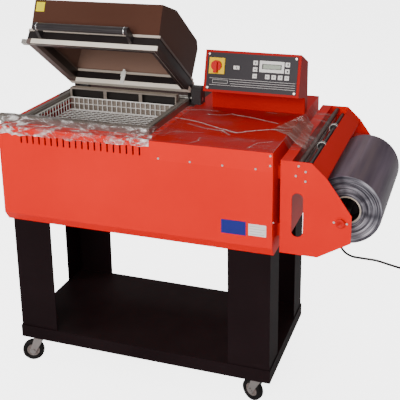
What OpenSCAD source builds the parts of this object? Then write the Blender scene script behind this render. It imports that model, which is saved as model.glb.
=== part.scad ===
// Shrink wrapping machine with an L-seal chamber, on a wheeled cart.
// Millimetres. X runs from the chamber to the film roll, Y from front to back, Z up.
// The origin is on the floor, under the middle of the machine without its mains cord.
// Inside the modules, x is counted from the casing's left wall and y from its front wall.

/* [Body] */
// Depth of the casing
body_d = 636; // [626:2:700]
// Height of the casing
body_h = 326; // [300:2:360]
// Height of the work table above the floor
table_z = 870; // [840:5:920]
// Thickness of the casing's sheet
sheet_t = 2; // [1.5:0.5:2.5]
// Height of the bevel along the lower front edge
bevel_h = 30; // [20:1:40]
// Depth of that bevel
bevel_d = 20; // [12:1:20]
// Number of vent slots
vent_count = 20; // [12:1:20]
// Width of a vent slot
vent_w = 5; // [3:1:8]
// Height of a vent slot
vent_h = 28; // [20:1:34]
// Height of the work table's front flap
flap_h = 58; // [50:1:64]

/* [Cart] */
// Height of the shelf above the floor
shelf_z = 150; // [146:1:165]
// Height of the shelf's folded edge
tray_h = 44; // [38:1:46]
// Depth of the shelf
tray_d = 439; // [420:1:500]
// Width of a leg's front face
leg_w = 134; // [110:1:150]
// Width of a leg's side face
leg_side_w = 104; // [80:1:120]
// Thickness of the legs' sheet
leg_t = 2.5; // [2:0.5:4]

/* [Casters] */
// Radius of a wheel
wheel_r = 37.5; // [34:0.5:38]
// Width of a wheel
wheel_w = 22; // [18:1:24]
// Distance from the swivel axis to the axle
trail = 28; // [24:1:30]
// Side of the square top plate
caster_plate_w = 64; // [60:1:70]

/* [Chamber] */
// Length of the chamber, inside
chamber_l = 402; // [380:2:410]
// Depth of the chamber, inside
chamber_d = 300; // [290:2:310]
// Depth of the tub below the table
tub_h = 130; // [125:1:150]
// Width of the steel frame round the chamber
frame_w = 25; // [22:1:28]
// Height of that frame above the table
frame_h = 20; // [16:1:24]
// Height of the basket
basket_h = 48; // [40:1:52]
// Width of the hot-air duct
duct_d = 24; // [20:1:28]

/* [Hood] */
// Angle of the open hood
open_angle = 35.7; // [30:0.1:40]
// Height of the sealing strip under the hood
gasket_h = 15; // [12:1:18]
// Height of the hood's frame
hood_frame_h = 34; // [30:1:38]
// Height of the shell above the frame
shell_h = 134; // [120:1:150]
// Thickness of the shell
shell_t = 3; // [2:0.5:4]
// Radius of the handle
handle_r = 12; // [10:0.5:14]
// Length of the handle between its brackets
handle_l = 304; // [280:2:320]
// Radius of the hinge shaft
hinge_r = 8; // [6:0.5:9]

/* [Console] */
// Gap between the steel frame and the console
console_gap = 81; // [76:1:110]
// Width of the console
console_w = 316; // [316:2:330]
// Height of the front face, along its slope
face_h = 136; // [134:1:140]
// Lean of the front face
face_lean = 16; // [12:1:18]
// Side of a key
key_w = 14; // [12:0.5:15]
// Travel of a key
key_travel = 1; // [0.8:0.1:1.2]

/* [Film roll holder] */
// Distance between the two plates
plate_gap = 594; // [560:2:600]
// Thickness of a plate
plate_t = 3; // [2:0.5:4]
// Radius of the film roll
film_r = 105; // [80:1:105]
// Width of the film
film_w = 410; // [400:2:430]
// Inner radius of the core
core_r = 38; // [36:0.5:40]
// Wall of the core
core_t = 5; // [4:0.5:6]
// Radius of the spindle
spindle_r = 12.5; // [11:0.5:13]
// Radius of a perforating wheel
wheel_perf_r = 12.5; // [10:0.5:13]
// Radius of the guide roller
roller_r = 8; // [7:0.5:8]

/* [Hidden] */

// Roundness of curves, and of small ones
$fn = 64;
small_fn = 24;
// How far a cut runs past what it cuts
over = 1;
// Radial clearance of a running fit, and the gap beside other moving pieces
run_gap = 0.05;
side_gap = 0.5;

// Colours
red = [0.86, 0.17, 0.11];
dark_red = [0.45, 0.06, 0.05];
black = [0.1, 0.08, 0.08];
steel = [0.72, 0.72, 0.7];
cream = [0.9, 0.88, 0.8];
brown = [0.36, 0.24, 0.18];

// Casing, as long as the chamber, the console and the gap between them need
chamber_x = 76;
chamber_y = 70;
frame_x1 = chamber_x + chamber_l + frame_w;
body_l = frame_x1 + console_gap + console_w;
body_z = table_z - body_h;
table_gap = 19;
table_x = frame_x1 + table_gap;
flange_w = 14;
vent_x = 80;
vent_in = 36;
vent_span = table_x - vent_in - vent_x;
vent_drop = 22;
gland_in = 40;
gland_rise = 96;
gland_x = body_l - gland_in;
gland_z = body_z + gland_rise;
gland_r = 11;
gland_nut_l = 12;
gland_cone_l = 18;
gland_l = gland_nut_l + gland_cone_l;
gland_cone_r = 5.8;

// Cart
tray_x = 15;
tray_y = 17;
tray_t = 2;
tray_in = 6;
tray_l = body_l - tray_x - tray_in;
leg_in = 3;
leg_gap = 0.5;
leg_tab = 40;
pad_out = 6;
pad_w = leg_in + leg_w + pad_out;

// Casters, with the way each one trails
caster_in = 45;
swivel_front_left = 200;
swivel_front_right = 155;
swivel_rear_left = 182;
swivel_rear_right = 171;
caster_plate_t = 3;
race_r = 20;
race_h = 6;
kingpin_r = 6;
fork_top_r = 22;
fork_top_h = 4;
fork_t = 2.5;
fork_eye_r = 11;
fork_wide = 38;
axle_r = 4;
axle_head_r = 7;
axle_head_h = 3;
tyre_t = 9;
hub_rim_share = 0.3;
caster_z = shelf_z - tray_h;

// Chamber
tub_flange = 12;
rail_w = 16;
rail_drop = 34;
basket_gap = 4;
basket_lift = 0.3;
basket_t = 3;
duct_gap = 5;
duct_side_gap = 2;
duct_rise = 45;
duct_t = 1.5;
duct_slot_h = 31;
duct_post_w = 8;
pad_t = 2;
pad_strip_w = 15;
jaw_reach = 30;
jaw_bracket_w = 16;
jaw_bracket_h = 42;

// Fan, heater and transformer
fan_x = chamber_x + chamber_l / 2;
fan_in = 135;
fan_y = chamber_y + fan_in;
fan_disc_r = 70;
fan_disc_t = 2;
fan_lift = 8;
fan_h = 22;
blade_t = 2;
blade_count = 8;
hub_r = 14;
motor_r = 48;
motor_h = 86;
motor_flange_w = 130;
motor_flange_t = 4;
motor_floor_t = 8;
motor_shaft_r = 5;
shaft_hole_gap = 3;
heater_r = 4;
heater_rise = 48;
heater_runs = 4;
heater_pitch = 50;
heater_in = 44;
core_l = 110;
core_w = 80;
core_h = 95;
coil_out = 14;
coil_h = 58;
transformer_in = 56;
transformer_back = 256;

// Hood, drawn shut and then turned open
hood_gap = 1.5;
seal_z = table_z + frame_h + pad_t;
hood_z = seal_z + hood_gap;
hood_x0 = chamber_x - frame_w;
hood_x1 = frame_x1;
hood_y0 = chamber_y - frame_w;
hood_y1 = chamber_y + chamber_d + frame_w;
shell_z = hood_z + gasket_h + hood_frame_h;
strip_h = 9;
strip_out = 1.5;
shell_side_in = 4;
shell_front_in = 2;
shell_lean = 21;
shell_front_share = 0.715;
shell_chamfer = 114;
shell_rear_h = 22;
shell_rear_in = 23;
handle_out = 46;
handle_rise = 38;
handle_in = 53;
handle_x = hood_x0 + handle_in;
bracket_t = 10;
bracket_h = 16;
bracket_foot_h = 26;
cap_t = 6;
cap_out = 0.6;
blade_w = 3;
blade_h = 8;
blade_drop = 0.4;
blade_block_l = 21;
blade_block_h = 14;
blade_block_w = 18;
hinge_out = 33.5;
hinge_rise = 15;
hinge_y = hood_y1 + hinge_out;
hinge_z = table_z + hinge_rise;
arm_t = 8;
arm_in = 5;
arm_r = 13.5;
arm_rise = 34;
hinge_block_w = 34;
hinge_block_gap = 8;
hinge_block_d = 44;
hinge_block_h = 52;
hinge_lug_r = 20;
hinge_shaft_out = 3;

// Console
console_x = body_l - console_w;
transformer_x = console_x + transformer_in;
transformer_y = body_d - transformer_back;
face_y = 307;
face_rise = 78.5;
face_z = table_z + face_rise;
console_rear = 442;
column_y = 402;
column_h = 55;
console_fall = 42;
console_t = 2;
panel_in = 9;
panel_t = 2;
panel_margin = 8;
panel_h = face_h - 2 * panel_margin;
face_frame_w = 14;
// Places on the face, as shares of its width and height
switch_shares = [0.133, 0.625];
rocker_shares = [0.342, 0.61];
key_row_share = 0.441;
display_share = 0.6765;
switch_at = [console_w * switch_shares[0], face_h * switch_shares[1]];
switch_w = 52;
switch_t = 4;
knob_r = 17;
knob_h = 9;
knob_bar = [11, 36, 9];
knob_pin_r = 4;
display_in = 50.5;
display_w = 80;
display_h = 36;
display_t = 3;
display_back = 8;
lens_w = 64;
lens_h = 17;
lens_in = 1;
key_out = 2.5;
key_back = 6;
key_gap = 0.4;
key_pitch = 21;
key_right_in = 41.5;
key_right_x = console_w - key_right_in;
key_row_x = key_right_x - 3 * key_pitch;
key_left_x = key_row_x - key_right_in;
key_row_y = face_h * key_row_share;
display_at = [key_right_x - display_in, face_h * display_share];
rocker_at = [console_w * rocker_shares[0], face_h * rocker_shares[1]];
rocker_w = 24;
rocker_h = 12;
rocker_t = 7;
rocker_out = 2;
rocker_tilt = 6;
rocker_pin_r = 1.5;
rocker_pin_drop = 4;
rocker_pin_out = 2;
screw_r = 3.5;
screw_h = 2;

// Film roll holder
holder_gap = 17;
plate_x = body_l + holder_gap;
plate_y = 20;
plate_y2 = plate_y + plate_t + plate_gap;
plate_drop = 26;
plate_top = table_z - plate_drop;
plate_w = 207;
plate_top_w = 89;
plate_h = 287;
plate_toe_h = 57;
plate_nose_h = 83;
plate_foot_w = 112;
slot_x = 51;
slot_r = 17;
slot_low = 56;
slot_high = 192;
roll_out = 176;
roll_drop = 170;
roll_in = 98;
roll_x = plate_x + roll_out;
roll_z = plate_top - roll_drop;
roll_y = plate_y + roll_in;
spindle_out = 3;
boss_screw = 18.5;
core_plug_in = 60;
core_plug_t = 20;
film_fit = 0.1;
boss_r = 8;
boss_l = 6;
stub_r = 4;
end_gap = 0.5;
roller_out = 53;
roller_drop = 12;
perf_out = 73;
perf_drop = 27;
rod_out = 45;
rod_drop = 42;
low_rod_drop = 56;
roller_at = [plate_x + roller_out, plate_top - roller_drop];
perf_at = [plate_x + perf_out, plate_top - perf_drop];
rod_at = [plate_x + rod_out, plate_top - rod_drop];
low_rod_at = [plate_x + perf_out, plate_top - low_rod_drop];
rod_r = 8;
low_rod_r = 9;
perf_shaft_r = 6;
perf_wheel_w = 12;
perf_wheel_in = 234;
perf_wheel_pitch = 194;
perf_wheel_y = [plate_y + perf_wheel_in, plate_y + perf_wheel_in + perf_wheel_pitch];
back_t = 2;
lip_w = 33;
spacer_h = 40;
spacer_in = 40;
spacer_low = 33;
spacer_high = 213;
guide_out = 91;
guide_drop = 6;
guide_run = 40;
guide_top = [plate_x + guide_out, plate_top - guide_drop];
guide_fold = guide_top + [guide_run, -guide_run];
guide_hem = 5;
guide_t = 2;

// Film on the table
web_t = 0.6;
web_lift = 0.2;
web_clear = 0.5;
web_y0 = 4;
web_in = 6;
web_y1 = column_y - web_in;
web_edge = 1;
apron_x0 = -8;
apron_drop = 24;
apron_out = 2.6;

// Mains cord and plug
cord_d = 10;
cord_sides = 8;
cord_steps = 4;
coil_sides = 6;
coil_rings = 24;
coil_r = 66;
coil_pitch = 12.4;
coil_layer = 10.8;
coil_turns = 2;
coil_straight = 10;
tail_l = 55;
plug_r = 18;
plug_l = 42;
plug_neck_r = 9;
plug_neck_l = 14;
pin_r = 2.4;
pin_l = 19;
pin_gap = 19;
cord_floor = 5.2;
// Points of the cord's route after the gland, chosen by hand: steps in x and y from the
// gland's mouth and heights above the floor
cord_route = [
    [0, 34, 640], [2, 114, 612], [12, 194, 530], [24, 274, 410], [38, 354, 260],
    [51, 416, 125], [66, 462, 52], [98, 492, 14], [147, 503, cord_floor],
    [205, 500, cord_floor], [267, 477, cord_floor], [310, 462, cord_floor]
];
coil_step = [402, 434];
coil_heading = -16.3;

// Outer reach of the machine without its cord, and the middle of it
left_reach = -jaw_reach;
right_reach = roll_x + film_r;
front_reach = -sheet_t - screw_h;
rear_reach = body_d + gland_l;
gland_mouth = [gland_x, rear_reach];
coil_start = gland_mouth + coil_step;
mid_x = (left_reach + right_reach) / 2;
mid_y = (front_reach + rear_reach) / 2;

module place() {
    translate([-mid_x, -mid_y, 0]) children();
}

// A box from its low corner to its high corner
module block(low, high) {
    translate(low) cube(high - low);
}

// A cylinder along Y, from y0 to y1, centred on x and z
module rod_y(at, y0, y1, r) {
    translate([at[0], y1, at[1]]) rotate([90, 0, 0]) cylinder(h = y1 - y0, r = r);
}

// A cylinder along X, from x0 to x1, centred on y and z
module rod_x(at, x0, x1, r) {
    translate([x0, at[0], at[1]]) rotate([0, 90, 0]) cylinder(h = x1 - x0, r = r);
}

// A prism along X whose outline is given as [y, z]
module prism_x(points, x0, x1) {
    translate([x0, 0, 0]) rotate([90, 0, 90]) linear_extrude(x1 - x0) polygon(points);
}

// A prism along Y whose outline is given as [x, z]
module prism_y(points, y0, y1) {
    translate([0, y1, 0]) rotate([90, 0, 0]) linear_extrude(y1 - y0) polygon(points);
}

// Rectangle ring between two heights
module ring(x0, x1, y0, y1, w, z0, z1) {
    difference() {
        block([x0, y0, z0], [x1, y1, z1]);
        block([x0 + w, y0 + w, z0 - over], [x1 - w, y1 - w, z1 + over]);
    }
}

// An outline moved inwards by w; its points run anticlockwise
function unit(v) = v / norm(v);
function left_of(v) = [-v[1], v[0]];
function inward(a, b, w) = left_of(unit(b - a)) * w;
function cross2(a, b) = a[0] * b[1] - a[1] * b[0];
function meet(p, u, q, v) = p + u * cross2(q - p, v) / cross2(u, v);
function inset(pts, w) = [
    for (i = [0 : len(pts) - 1])
        let (a = pts[(i + len(pts) - 1) % len(pts)], b = pts[i], c = pts[(i + 1) % len(pts)])
        meet(a + inward(a, b, w), b - a, b + inward(b, c, w), c - b)
];

// An open line given a thickness, as a closed outline
function side_point(pts, i, w) =
    i == 0 ? pts[0] + inward(pts[0], pts[1], w)
    : i == len(pts) - 1 ? pts[i] + inward(pts[i - 1], pts[i], w)
    : meet(pts[i - 1] + inward(pts[i - 1], pts[i], w), pts[i] - pts[i - 1],
        pts[i] + inward(pts[i], pts[i + 1], w), pts[i + 1] - pts[i]);
function strip(pts, t) = concat(
    [for (i = [0 : len(pts) - 1]) side_point(pts, i, -t / 2)],
    [for (i = [len(pts) - 1 : -1 : 0]) side_point(pts, i, t / 2)]
);

// Cart
// Children set up once for each corner of the cart, for its L-shaped leg
module at_legs(z) {
    for (side = [0, 1], end = [0, 1])
        translate([
            side == 0 ? tray_x + leg_in : tray_x + tray_l - leg_in,
            end == 0 ? tray_y + leg_in : tray_y + tray_d - leg_in,
            z
        ])
            mirror([side, 0, 0]) mirror([0, end, 0]) children();
}

module base_tray() {
    x1 = tray_x + tray_l;
    y1 = tray_y + tray_d;
    color(black) difference() {
        block([tray_x, tray_y, caster_z], [x1, y1, shelf_z]);
        block(
            [tray_x + tray_t, tray_y + tray_t, caster_z + tray_t],
            [x1 - tray_t, y1 - tray_t, shelf_z - tray_t]
        );
        block([tray_x + pad_w, tray_y + tray_t, caster_z - over],
            [x1 - pad_w, y1 - tray_t, caster_z + tray_t + over]);
        block([tray_x + tray_t, tray_y + pad_w, caster_z - over],
            [x1 - tray_t, y1 - pad_w, caster_z + tray_t + over]);
        at_legs(shelf_z - tray_t - over) translate([-leg_gap, -leg_gap, 0])
            leg_section(leg_t + 2 * leg_gap, 2 * leg_gap, tray_t + 2 * over);
    }
}

// A leg's L section with its corner at the origin, longer by more on both sides
module leg_section(t, more, h) {
    cube([leg_w + more, t, h]);
    cube([t, leg_side_w + more, h]);
}

// A leg with a bolting tab at each end; it stands on the pan's corner pad
module leg() {
    h = body_z - caster_z - tray_t;
    leg_section(leg_t, 0, h);
    for (z = [0, h - leg_t])
        translate([0, 0, z]) cube([leg_tab, leg_tab, leg_t]);
}

module legs() {
    color(black) at_legs(caster_z + tray_t) leg();
}

function caster_at(side, end) = [
    side == 0 ? tray_x + caster_in : tray_x + tray_l - caster_in,
    end == 0 ? tray_y + caster_in : tray_y + tray_d - caster_in
];

module caster_plates() {
    color(steel) for (side = [0, 1], end = [0, 1])
        translate(concat(caster_at(side, end), [0])) difference() {
            union() {
                block(
                    [-caster_plate_w / 2, -caster_plate_w / 2, caster_z - caster_plate_t],
                    [caster_plate_w / 2, caster_plate_w / 2, caster_z]
                );
                translate([0, 0, caster_z - caster_plate_t - race_h])
                    cylinder(h = race_h, r = race_r);
            }
            translate([0, 0, caster_z - caster_plate_t - race_h - over])
                cylinder(h = race_h + caster_plate_t + over - run_gap, r = kingpin_r + run_gap);
        }
}

// Heights of the fork's crown, counted from the floor
fork_top = caster_z - caster_plate_t - race_h - side_gap;
fork_low = fork_top - fork_top_h;

module caster_fork(side, end, turn) {
    inner = wheel_w / 2 + side_gap;
    color(steel) translate(concat(caster_at(side, end), [0])) rotate([0, 0, turn]) {
        translate([0, 0, fork_low]) cylinder(h = fork_top_h, r = fork_top_r);
        translate([0, 0, fork_low])
            cylinder(h = caster_z - caster_plate_t - fork_low, r = kingpin_r);
        for (s = [-1, 1])
            translate([0, s > 0 ? inner + fork_t : -inner, 0]) rotate([90, 0, 0])
                linear_extrude(fork_t) {
                    polygon([
                        [-fork_wide / 2, fork_low + fork_top_h / 2],
                        [trail - fork_eye_r, wheel_r],
                        [trail + fork_eye_r, wheel_r],
                        [fork_wide / 2, fork_low + fork_top_h / 2]
                    ]);
                    translate([trail, wheel_r]) circle(r = fork_eye_r);
                }
        block(
            [-fork_wide / 2, -inner - fork_t, fork_low],
            [fork_wide / 2, inner + fork_t, fork_low + fork_top_h / 2]
        );
        rod_y([trail, wheel_r], -inner - fork_t, inner + fork_t, axle_r);
        rod_y([trail, wheel_r], inner + fork_t, inner + fork_t + axle_head_h, axle_head_r);
        rod_y([trail, wheel_r], -inner - fork_t - axle_head_h, -inner - fork_t, axle_head_r);
    }
}

module caster_wheel(side, end, turn) {
    color(black) translate(concat(caster_at(side, end), [0])) rotate([0, 0, turn])
        difference() {
            rod_y([trail, wheel_r], -wheel_w / 2, wheel_w / 2, wheel_r);
            for (s = [-1, 1])
                translate([trail, s * wheel_w / 2, wheel_r]) rotate([90, 0, 0]) difference() {
                    cylinder(h = wheel_w * hub_rim_share, r = wheel_r - tyre_t, center = true);
                    cylinder(h = wheel_w, r = fork_eye_r, center = true);
                }
            rod_y([trail, wheel_r], -wheel_w, wheel_w, axle_r + run_gap);
        }
}

// Casing
body_outline = [
    [bevel_d, body_z], [body_d, body_z], [body_d, table_z],
    [0, table_z], [0, body_z + bevel_h]
];

module body_shell() {
    inner = inset(body_outline, sheet_t);
    deck_low = table_z - 2 * sheet_t;
    color(red) difference() {
        prism_x(body_outline, 0, body_l);
        intersection() {
            prism_x(inner, sheet_t, body_l - sheet_t);
            block([0, 0, 0], [body_l, body_d, deck_low]);
        }
        block([sheet_t, sheet_t, deck_low - over], [table_x - sheet_t, body_d - sheet_t, table_z - sheet_t]);
        block([table_x, -over, table_z - sheet_t], [body_l + over, body_d + over, table_z + over]);
        block(
            [table_x + flange_w, flange_w, deck_low - over],
            [body_l - flange_w, body_d - flange_w, table_z]
        );
        block(
            [chamber_x, chamber_y, deck_low],
            [chamber_x + chamber_l, chamber_y + chamber_d, table_z + over]
        );
        for (i = [0 : vent_count - 1])
            translate([vent_x + i * vent_span / (vent_count - 1), -over, table_z - vent_drop - vent_h])
                cube([vent_w, sheet_t + 2 * over, vent_h]);
    }
}

module work_table() {
    color(red) {
        block([table_x, -sheet_t, table_z - sheet_t], [body_l, body_d, table_z]);
        block([table_x, -sheet_t, table_z - flap_h], [body_l, 0, table_z]);
    }
}

// Rivets and screws, as round heads that sit on a face
module head_front(at, y) {
    rod_y(at, y - screw_h, y, screw_r);
}

flap_rivet_in = 28;
flap_rivet_x = table_x + flap_rivet_in;
flap_rivet_pitch = 100;
flap_rivet_rise = 6;
edge_screw_in = 7;
edge_screws = [8, 38];

module fasteners() {
    color(steel) {
        for (i = [0 : floor((body_l - flap_rivet_x - edge_screw_in) / flap_rivet_pitch)])
            head_front([flap_rivet_x + i * flap_rivet_pitch, table_z - flap_h + flap_rivet_rise], -sheet_t);
        for (drop = edge_screws)
            head_front([body_l - edge_screw_in, table_z - drop], -sheet_t);
        for (at = [roller_at, perf_at, rod_at, low_rod_at,
                [roll_x - boss_screw, roll_z], [roll_x + boss_screw, roll_z]]) {
            head_front(at, plate_y);
            rod_y(at, plate_y2 + plate_t, plate_y2 + plate_t + screw_h, screw_r);
        }
        on_face() for (x = [panel_in + screw_r + sheet_t, console_w - panel_in - screw_r - sheet_t],
                y = [panel_low + screw_r + sheet_t, panel_low + panel_h - screw_r - sheet_t])
            translate([x, y, panel_t]) cylinder(h = screw_h, r = screw_r);
    }
}

// Chamber
tub_floor = table_z - tub_h;

module chamber_tub() {
    x1 = chamber_x + chamber_l;
    y1 = chamber_y + chamber_d;
    top = table_z - sheet_t;
    color(red) difference() {
        union() {
            block([chamber_x - sheet_t, chamber_y - sheet_t, tub_floor], [x1 + sheet_t, y1 + sheet_t, top]);
            block(
                [chamber_x - tub_flange, chamber_y - tub_flange, top - sheet_t],
                [x1 + tub_flange, y1 + tub_flange, top]
            );
        }
        difference() {
            block([chamber_x, chamber_y, tub_floor + sheet_t], [x1, y1, table_z]);
            for (x = [chamber_x - over, x1 - rail_w])
                block(
                    [x, chamber_y - over, table_z - rail_drop - sheet_t],
                    [x + rail_w + over, basket_y1, table_z - rail_drop]
                );
        }
        translate([fan_x, fan_y, tub_floor - over])
            cylinder(h = sheet_t + 2 * over, r = motor_shaft_r + shaft_hole_gap);
    }
}

module seal_frame() {
    color(steel) {
        ring(hood_x0, hood_x1, hood_y0, hood_y1, frame_w, table_z, table_z + frame_h);
        block([-jaw_reach, hood_y0, table_z], [hood_x0 + over, chamber_y, table_z + frame_h]);
        block([-jaw_bracket_w, hood_y0, table_z - jaw_bracket_h], [0, chamber_y, table_z + over]);
    }
}

module seal_pad() {
    edge = (frame_w - pad_strip_w) / 2;
    z0 = table_z + frame_h;
    color(cream) {
        ring(hood_x0 + edge, hood_x1 - edge, hood_y0 + edge, hood_y1 - edge, pad_strip_w, z0, seal_z);
        block([-jaw_reach + edge, hood_y0 + edge, z0], [hood_x0 + frame_w, chamber_y - edge, seal_z]);
    }
}

duct_y1 = chamber_y + chamber_d - duct_gap;
duct_y0 = duct_y1 - duct_d;
basket_y0 = chamber_y + basket_gap;
basket_y1 = duct_y0 - duct_gap;

module air_duct() {
    x0 = chamber_x + duct_side_gap;
    x1 = chamber_x + chamber_l - duct_side_gap;
    z0 = tub_floor + sheet_t;
    z1 = table_z + duct_rise;
    slot_top = z1 - duct_t - duct_post_w / 2;
    third = (x1 - x0) / 3;
    color(steel) difference() {
        block([x0, duct_y0, z0], [x1, duct_y1, z1]);
        block([x0 + duct_t, duct_y0 + duct_t, z0 - over], [x1 - duct_t, duct_y1 - duct_t, z1 - duct_t]);
        for (i = [0 : 2])
            block(
                [x0 + i * third + duct_post_w, duct_y0 - over, slot_top - duct_slot_h],
                [x0 + (i + 1) * third - duct_post_w / 2, duct_y0 + duct_t + over, slot_top]
            );
        block([x0 + duct_post_w, duct_y0 - over, z0 - over],
            [x1 - duct_post_w, duct_y0 + duct_t + over, z0 + heater_rise]);
    }
}

module basket() {
    x0 = chamber_x + basket_gap;
    x1 = chamber_x + chamber_l - basket_gap;
    z0 = table_z - rail_drop + basket_lift;
    color(steel) difference() {
        block([x0, basket_y0, z0], [x1, basket_y1, z0 + basket_h]);
        block(
            [x0 + basket_t, basket_y0 + basket_t, z0 + basket_t],
            [x1 - basket_t, basket_y1 - basket_t, z0 + basket_h + over]
        );
    }
}

module fan_motor() {
    color(black) difference() {
        union() {
            translate([fan_x, fan_y, tub_floor - motor_flange_t - motor_h])
                cylinder(h = motor_h + motor_flange_t, r = motor_r);
            block(
                [fan_x - motor_flange_w / 2, fan_y - motor_flange_w / 2, tub_floor - motor_flange_t],
                [fan_x + motor_flange_w / 2, fan_y + motor_flange_w / 2, tub_floor]
            );
        }
        translate([fan_x, fan_y, tub_floor - motor_flange_t - motor_h + motor_floor_t])
            cylinder(h = motor_h + motor_flange_t, r = motor_shaft_r + run_gap);
    }
}

module fan_impeller() {
    z0 = tub_floor + sheet_t + fan_lift;
    shaft_z = tub_floor - motor_flange_t - motor_h + motor_floor_t + side_gap;
    color(steel) translate([fan_x, fan_y, 0]) {
        translate([0, 0, z0]) cylinder(h = fan_disc_t, r = fan_disc_r);
        translate([0, 0, z0]) cylinder(h = fan_h, r = hub_r);
        for (i = [0 : blade_count - 1])
            rotate([0, 0, i * 360 / blade_count])
                translate([hub_r - over, -blade_t / 2, z0]) cube([fan_disc_r - hub_r, blade_t, fan_h]);
        translate([0, 0, shaft_z]) cylinder(h = z0 - shaft_z + over, r = motor_shaft_r);
    }
}

// A rod bent to and fro, with a leg down to the tub's floor at each end
module heater_element() {
    x0 = chamber_x + heater_in;
    x1 = chamber_x + chamber_l - heater_in;
    y0 = fan_y - heater_pitch * (heater_runs - 1) / 2;
    z = tub_floor + heater_rise;
    color(steel) {
        for (i = [0 : heater_runs - 1])
            rod_x([y0 + i * heater_pitch, z], x0, x1, heater_r);
        for (i = [0 : heater_runs - 2])
            translate([i % 2 == 0 ? x1 : x0, y0 + (i + 0.5) * heater_pitch, z])
                rotate([0, 0, i % 2 == 0 ? -90 : 90])
                    rotate_extrude(angle = 180) translate([heater_pitch / 2, 0]) circle(r = heater_r);
        for (y = [y0, y0 + (heater_runs - 1) * heater_pitch]) {
            translate([x0, y, tub_floor + sheet_t])
                cylinder(h = heater_rise - sheet_t, r = heater_r);
            translate([x0, y, z]) sphere(r = heater_r);
        }
    }
}

module transformer() {
    z0 = body_z + sheet_t;
    mid = (core_h - coil_h) / 2;
    color(black) block(
        [transformer_x, transformer_y, z0],
        [transformer_x + core_l, transformer_y + core_w, z0 + core_h]
    );
    color(brown) block(
        [transformer_x + coil_out, transformer_y - coil_out, z0 + mid],
        [transformer_x + core_l - coil_out, transformer_y + core_w + coil_out, z0 + mid + coil_h]
    );
}

// Hood: children are drawn shut and turned open about the hinge
module opened() {
    translate([0, hinge_y, hinge_z]) rotate([-open_angle, 0, 0])
        translate([0, -hinge_y, -hinge_z]) children();
}

arm_left = hood_x0 + arm_in;
arm_right = hood_x1 - arm_in - arm_t;

module hood_frame() {
    z0 = hood_z + gasket_h;
    color(black) opened() difference() {
        union() {
            ring(hood_x0, hood_x1, hood_y0, hood_y1, frame_w, z0, shell_z);
            ring(
                hood_x0 - strip_out, hood_x1 + strip_out, hood_y0 - strip_out, hood_y1 + strip_out,
                frame_w + strip_out, shell_z - strip_h, shell_z
            );
            for (x = [arm_left, arm_right]) {
                prism_x([
                    [hood_y1 - over, z0], [hinge_y, hinge_z - arm_r], [hinge_y + arm_r, hinge_z],
                    [hinge_y, z0 + arm_rise], [hood_y1 - over, z0 + arm_rise]
                ], x, x + arm_t);
                rod_x([hinge_y, hinge_z], x, x + arm_t, arm_r);
            }
        }
        rod_x([hinge_y, hinge_z], hood_x0, hood_x1, hinge_r + run_gap);
    }
}

blade_x = hood_x1 - frame_w / 2;
blade_y = hood_y0 + frame_w / 2;

// L-shaped solid that follows the sealing line at the front and the right
module seal_line(w, z0, z1, x0) {
    block([x0, blade_y - w / 2, z0], [blade_x + w / 2, blade_y + w / 2, z1]);
    block([blade_x - w / 2, blade_y - w / 2, z0], [blade_x + w / 2, hood_y1 - frame_w, z1]);
}

module hood_gasket() {
    color(cream) opened() difference() {
        ring(hood_x0, hood_x1, hood_y0, hood_y1, frame_w, hood_z, hood_z + gasket_h);
        seal_line(blade_w + 2 * run_gap, hood_z - over, hood_z + blade_h, hood_x0 - over);
    }
}

module seal_blade() {
    low = hood_z - blade_drop;
    color(steel) opened() {
        seal_line(blade_w, low, hood_z + blade_h - run_gap, hood_x0 - blade_block_l);
        block(
            [hood_x0 - blade_block_l, blade_y - blade_block_w / 2, low],
            [hood_x0 - run_gap, blade_y + blade_block_w / 2, low + blade_block_h]
        );
    }
}

// The shell's outline as [y, z], anticlockwise from its front foot
shell_top = shell_z + shell_h;
shell_outline = [
    [hood_y1 - shell_front_in / 2, shell_z],
    [hood_y1 - shell_front_in, shell_top - shell_rear_h],
    [hood_y1 - shell_rear_in - shell_front_in, shell_top],
    [hood_y0 + shell_front_in - shell_lean + shell_chamfer, shell_top],
    [hood_y0 + shell_front_in - shell_lean, shell_z + shell_h * shell_front_share],
    [hood_y0 + shell_front_in, shell_z]
];

module hood_shell() {
    x0 = hood_x0 + shell_side_in;
    x1 = hood_x1 - shell_side_in;
    inner = inset(shell_outline, shell_t);
    // The inner outline is carried down through the open foot
    cut = concat(
        [[inner[0][0], shell_z - over]],
        [for (i = [1 : 4]) inner[i]],
        [[inner[5][0], shell_z - over]]
    );
    color(brown) opened() difference() {
        prism_x(shell_outline, x0, x1);
        prism_x(cut, x0 + shell_t, x1 - shell_t);
    }
}

handle_at = [hood_y0 - handle_out, hood_z + handle_rise];

module hood_handle() {
    foot_z = hood_z + gasket_h;
    color(black) opened() {
        rod_x(handle_at, handle_x, handle_x + handle_l, handle_r);
        for (x = [handle_x - bracket_t, handle_x + handle_l]) {
            rod_x(handle_at, x, x + bracket_t, handle_r + cap_out);
            prism_x([
                [hood_y0, foot_z], [hood_y0, foot_z + hood_frame_h - strip_h],
                [handle_at[0], handle_at[1] + handle_r], [handle_at[0], handle_at[1] - bracket_h / 2]
            ], x, x + bracket_t);
        }
    }
}

lug_x = arm_left + arm_t + hinge_block_gap;
block_right = arm_right + arm_t + hinge_block_gap;

module hinge_shaft() {
    color(steel) rod_x(
        [hinge_y, hinge_z], arm_left - hinge_shaft_out, block_right + hinge_block_w - over, hinge_r
    );
}

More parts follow.
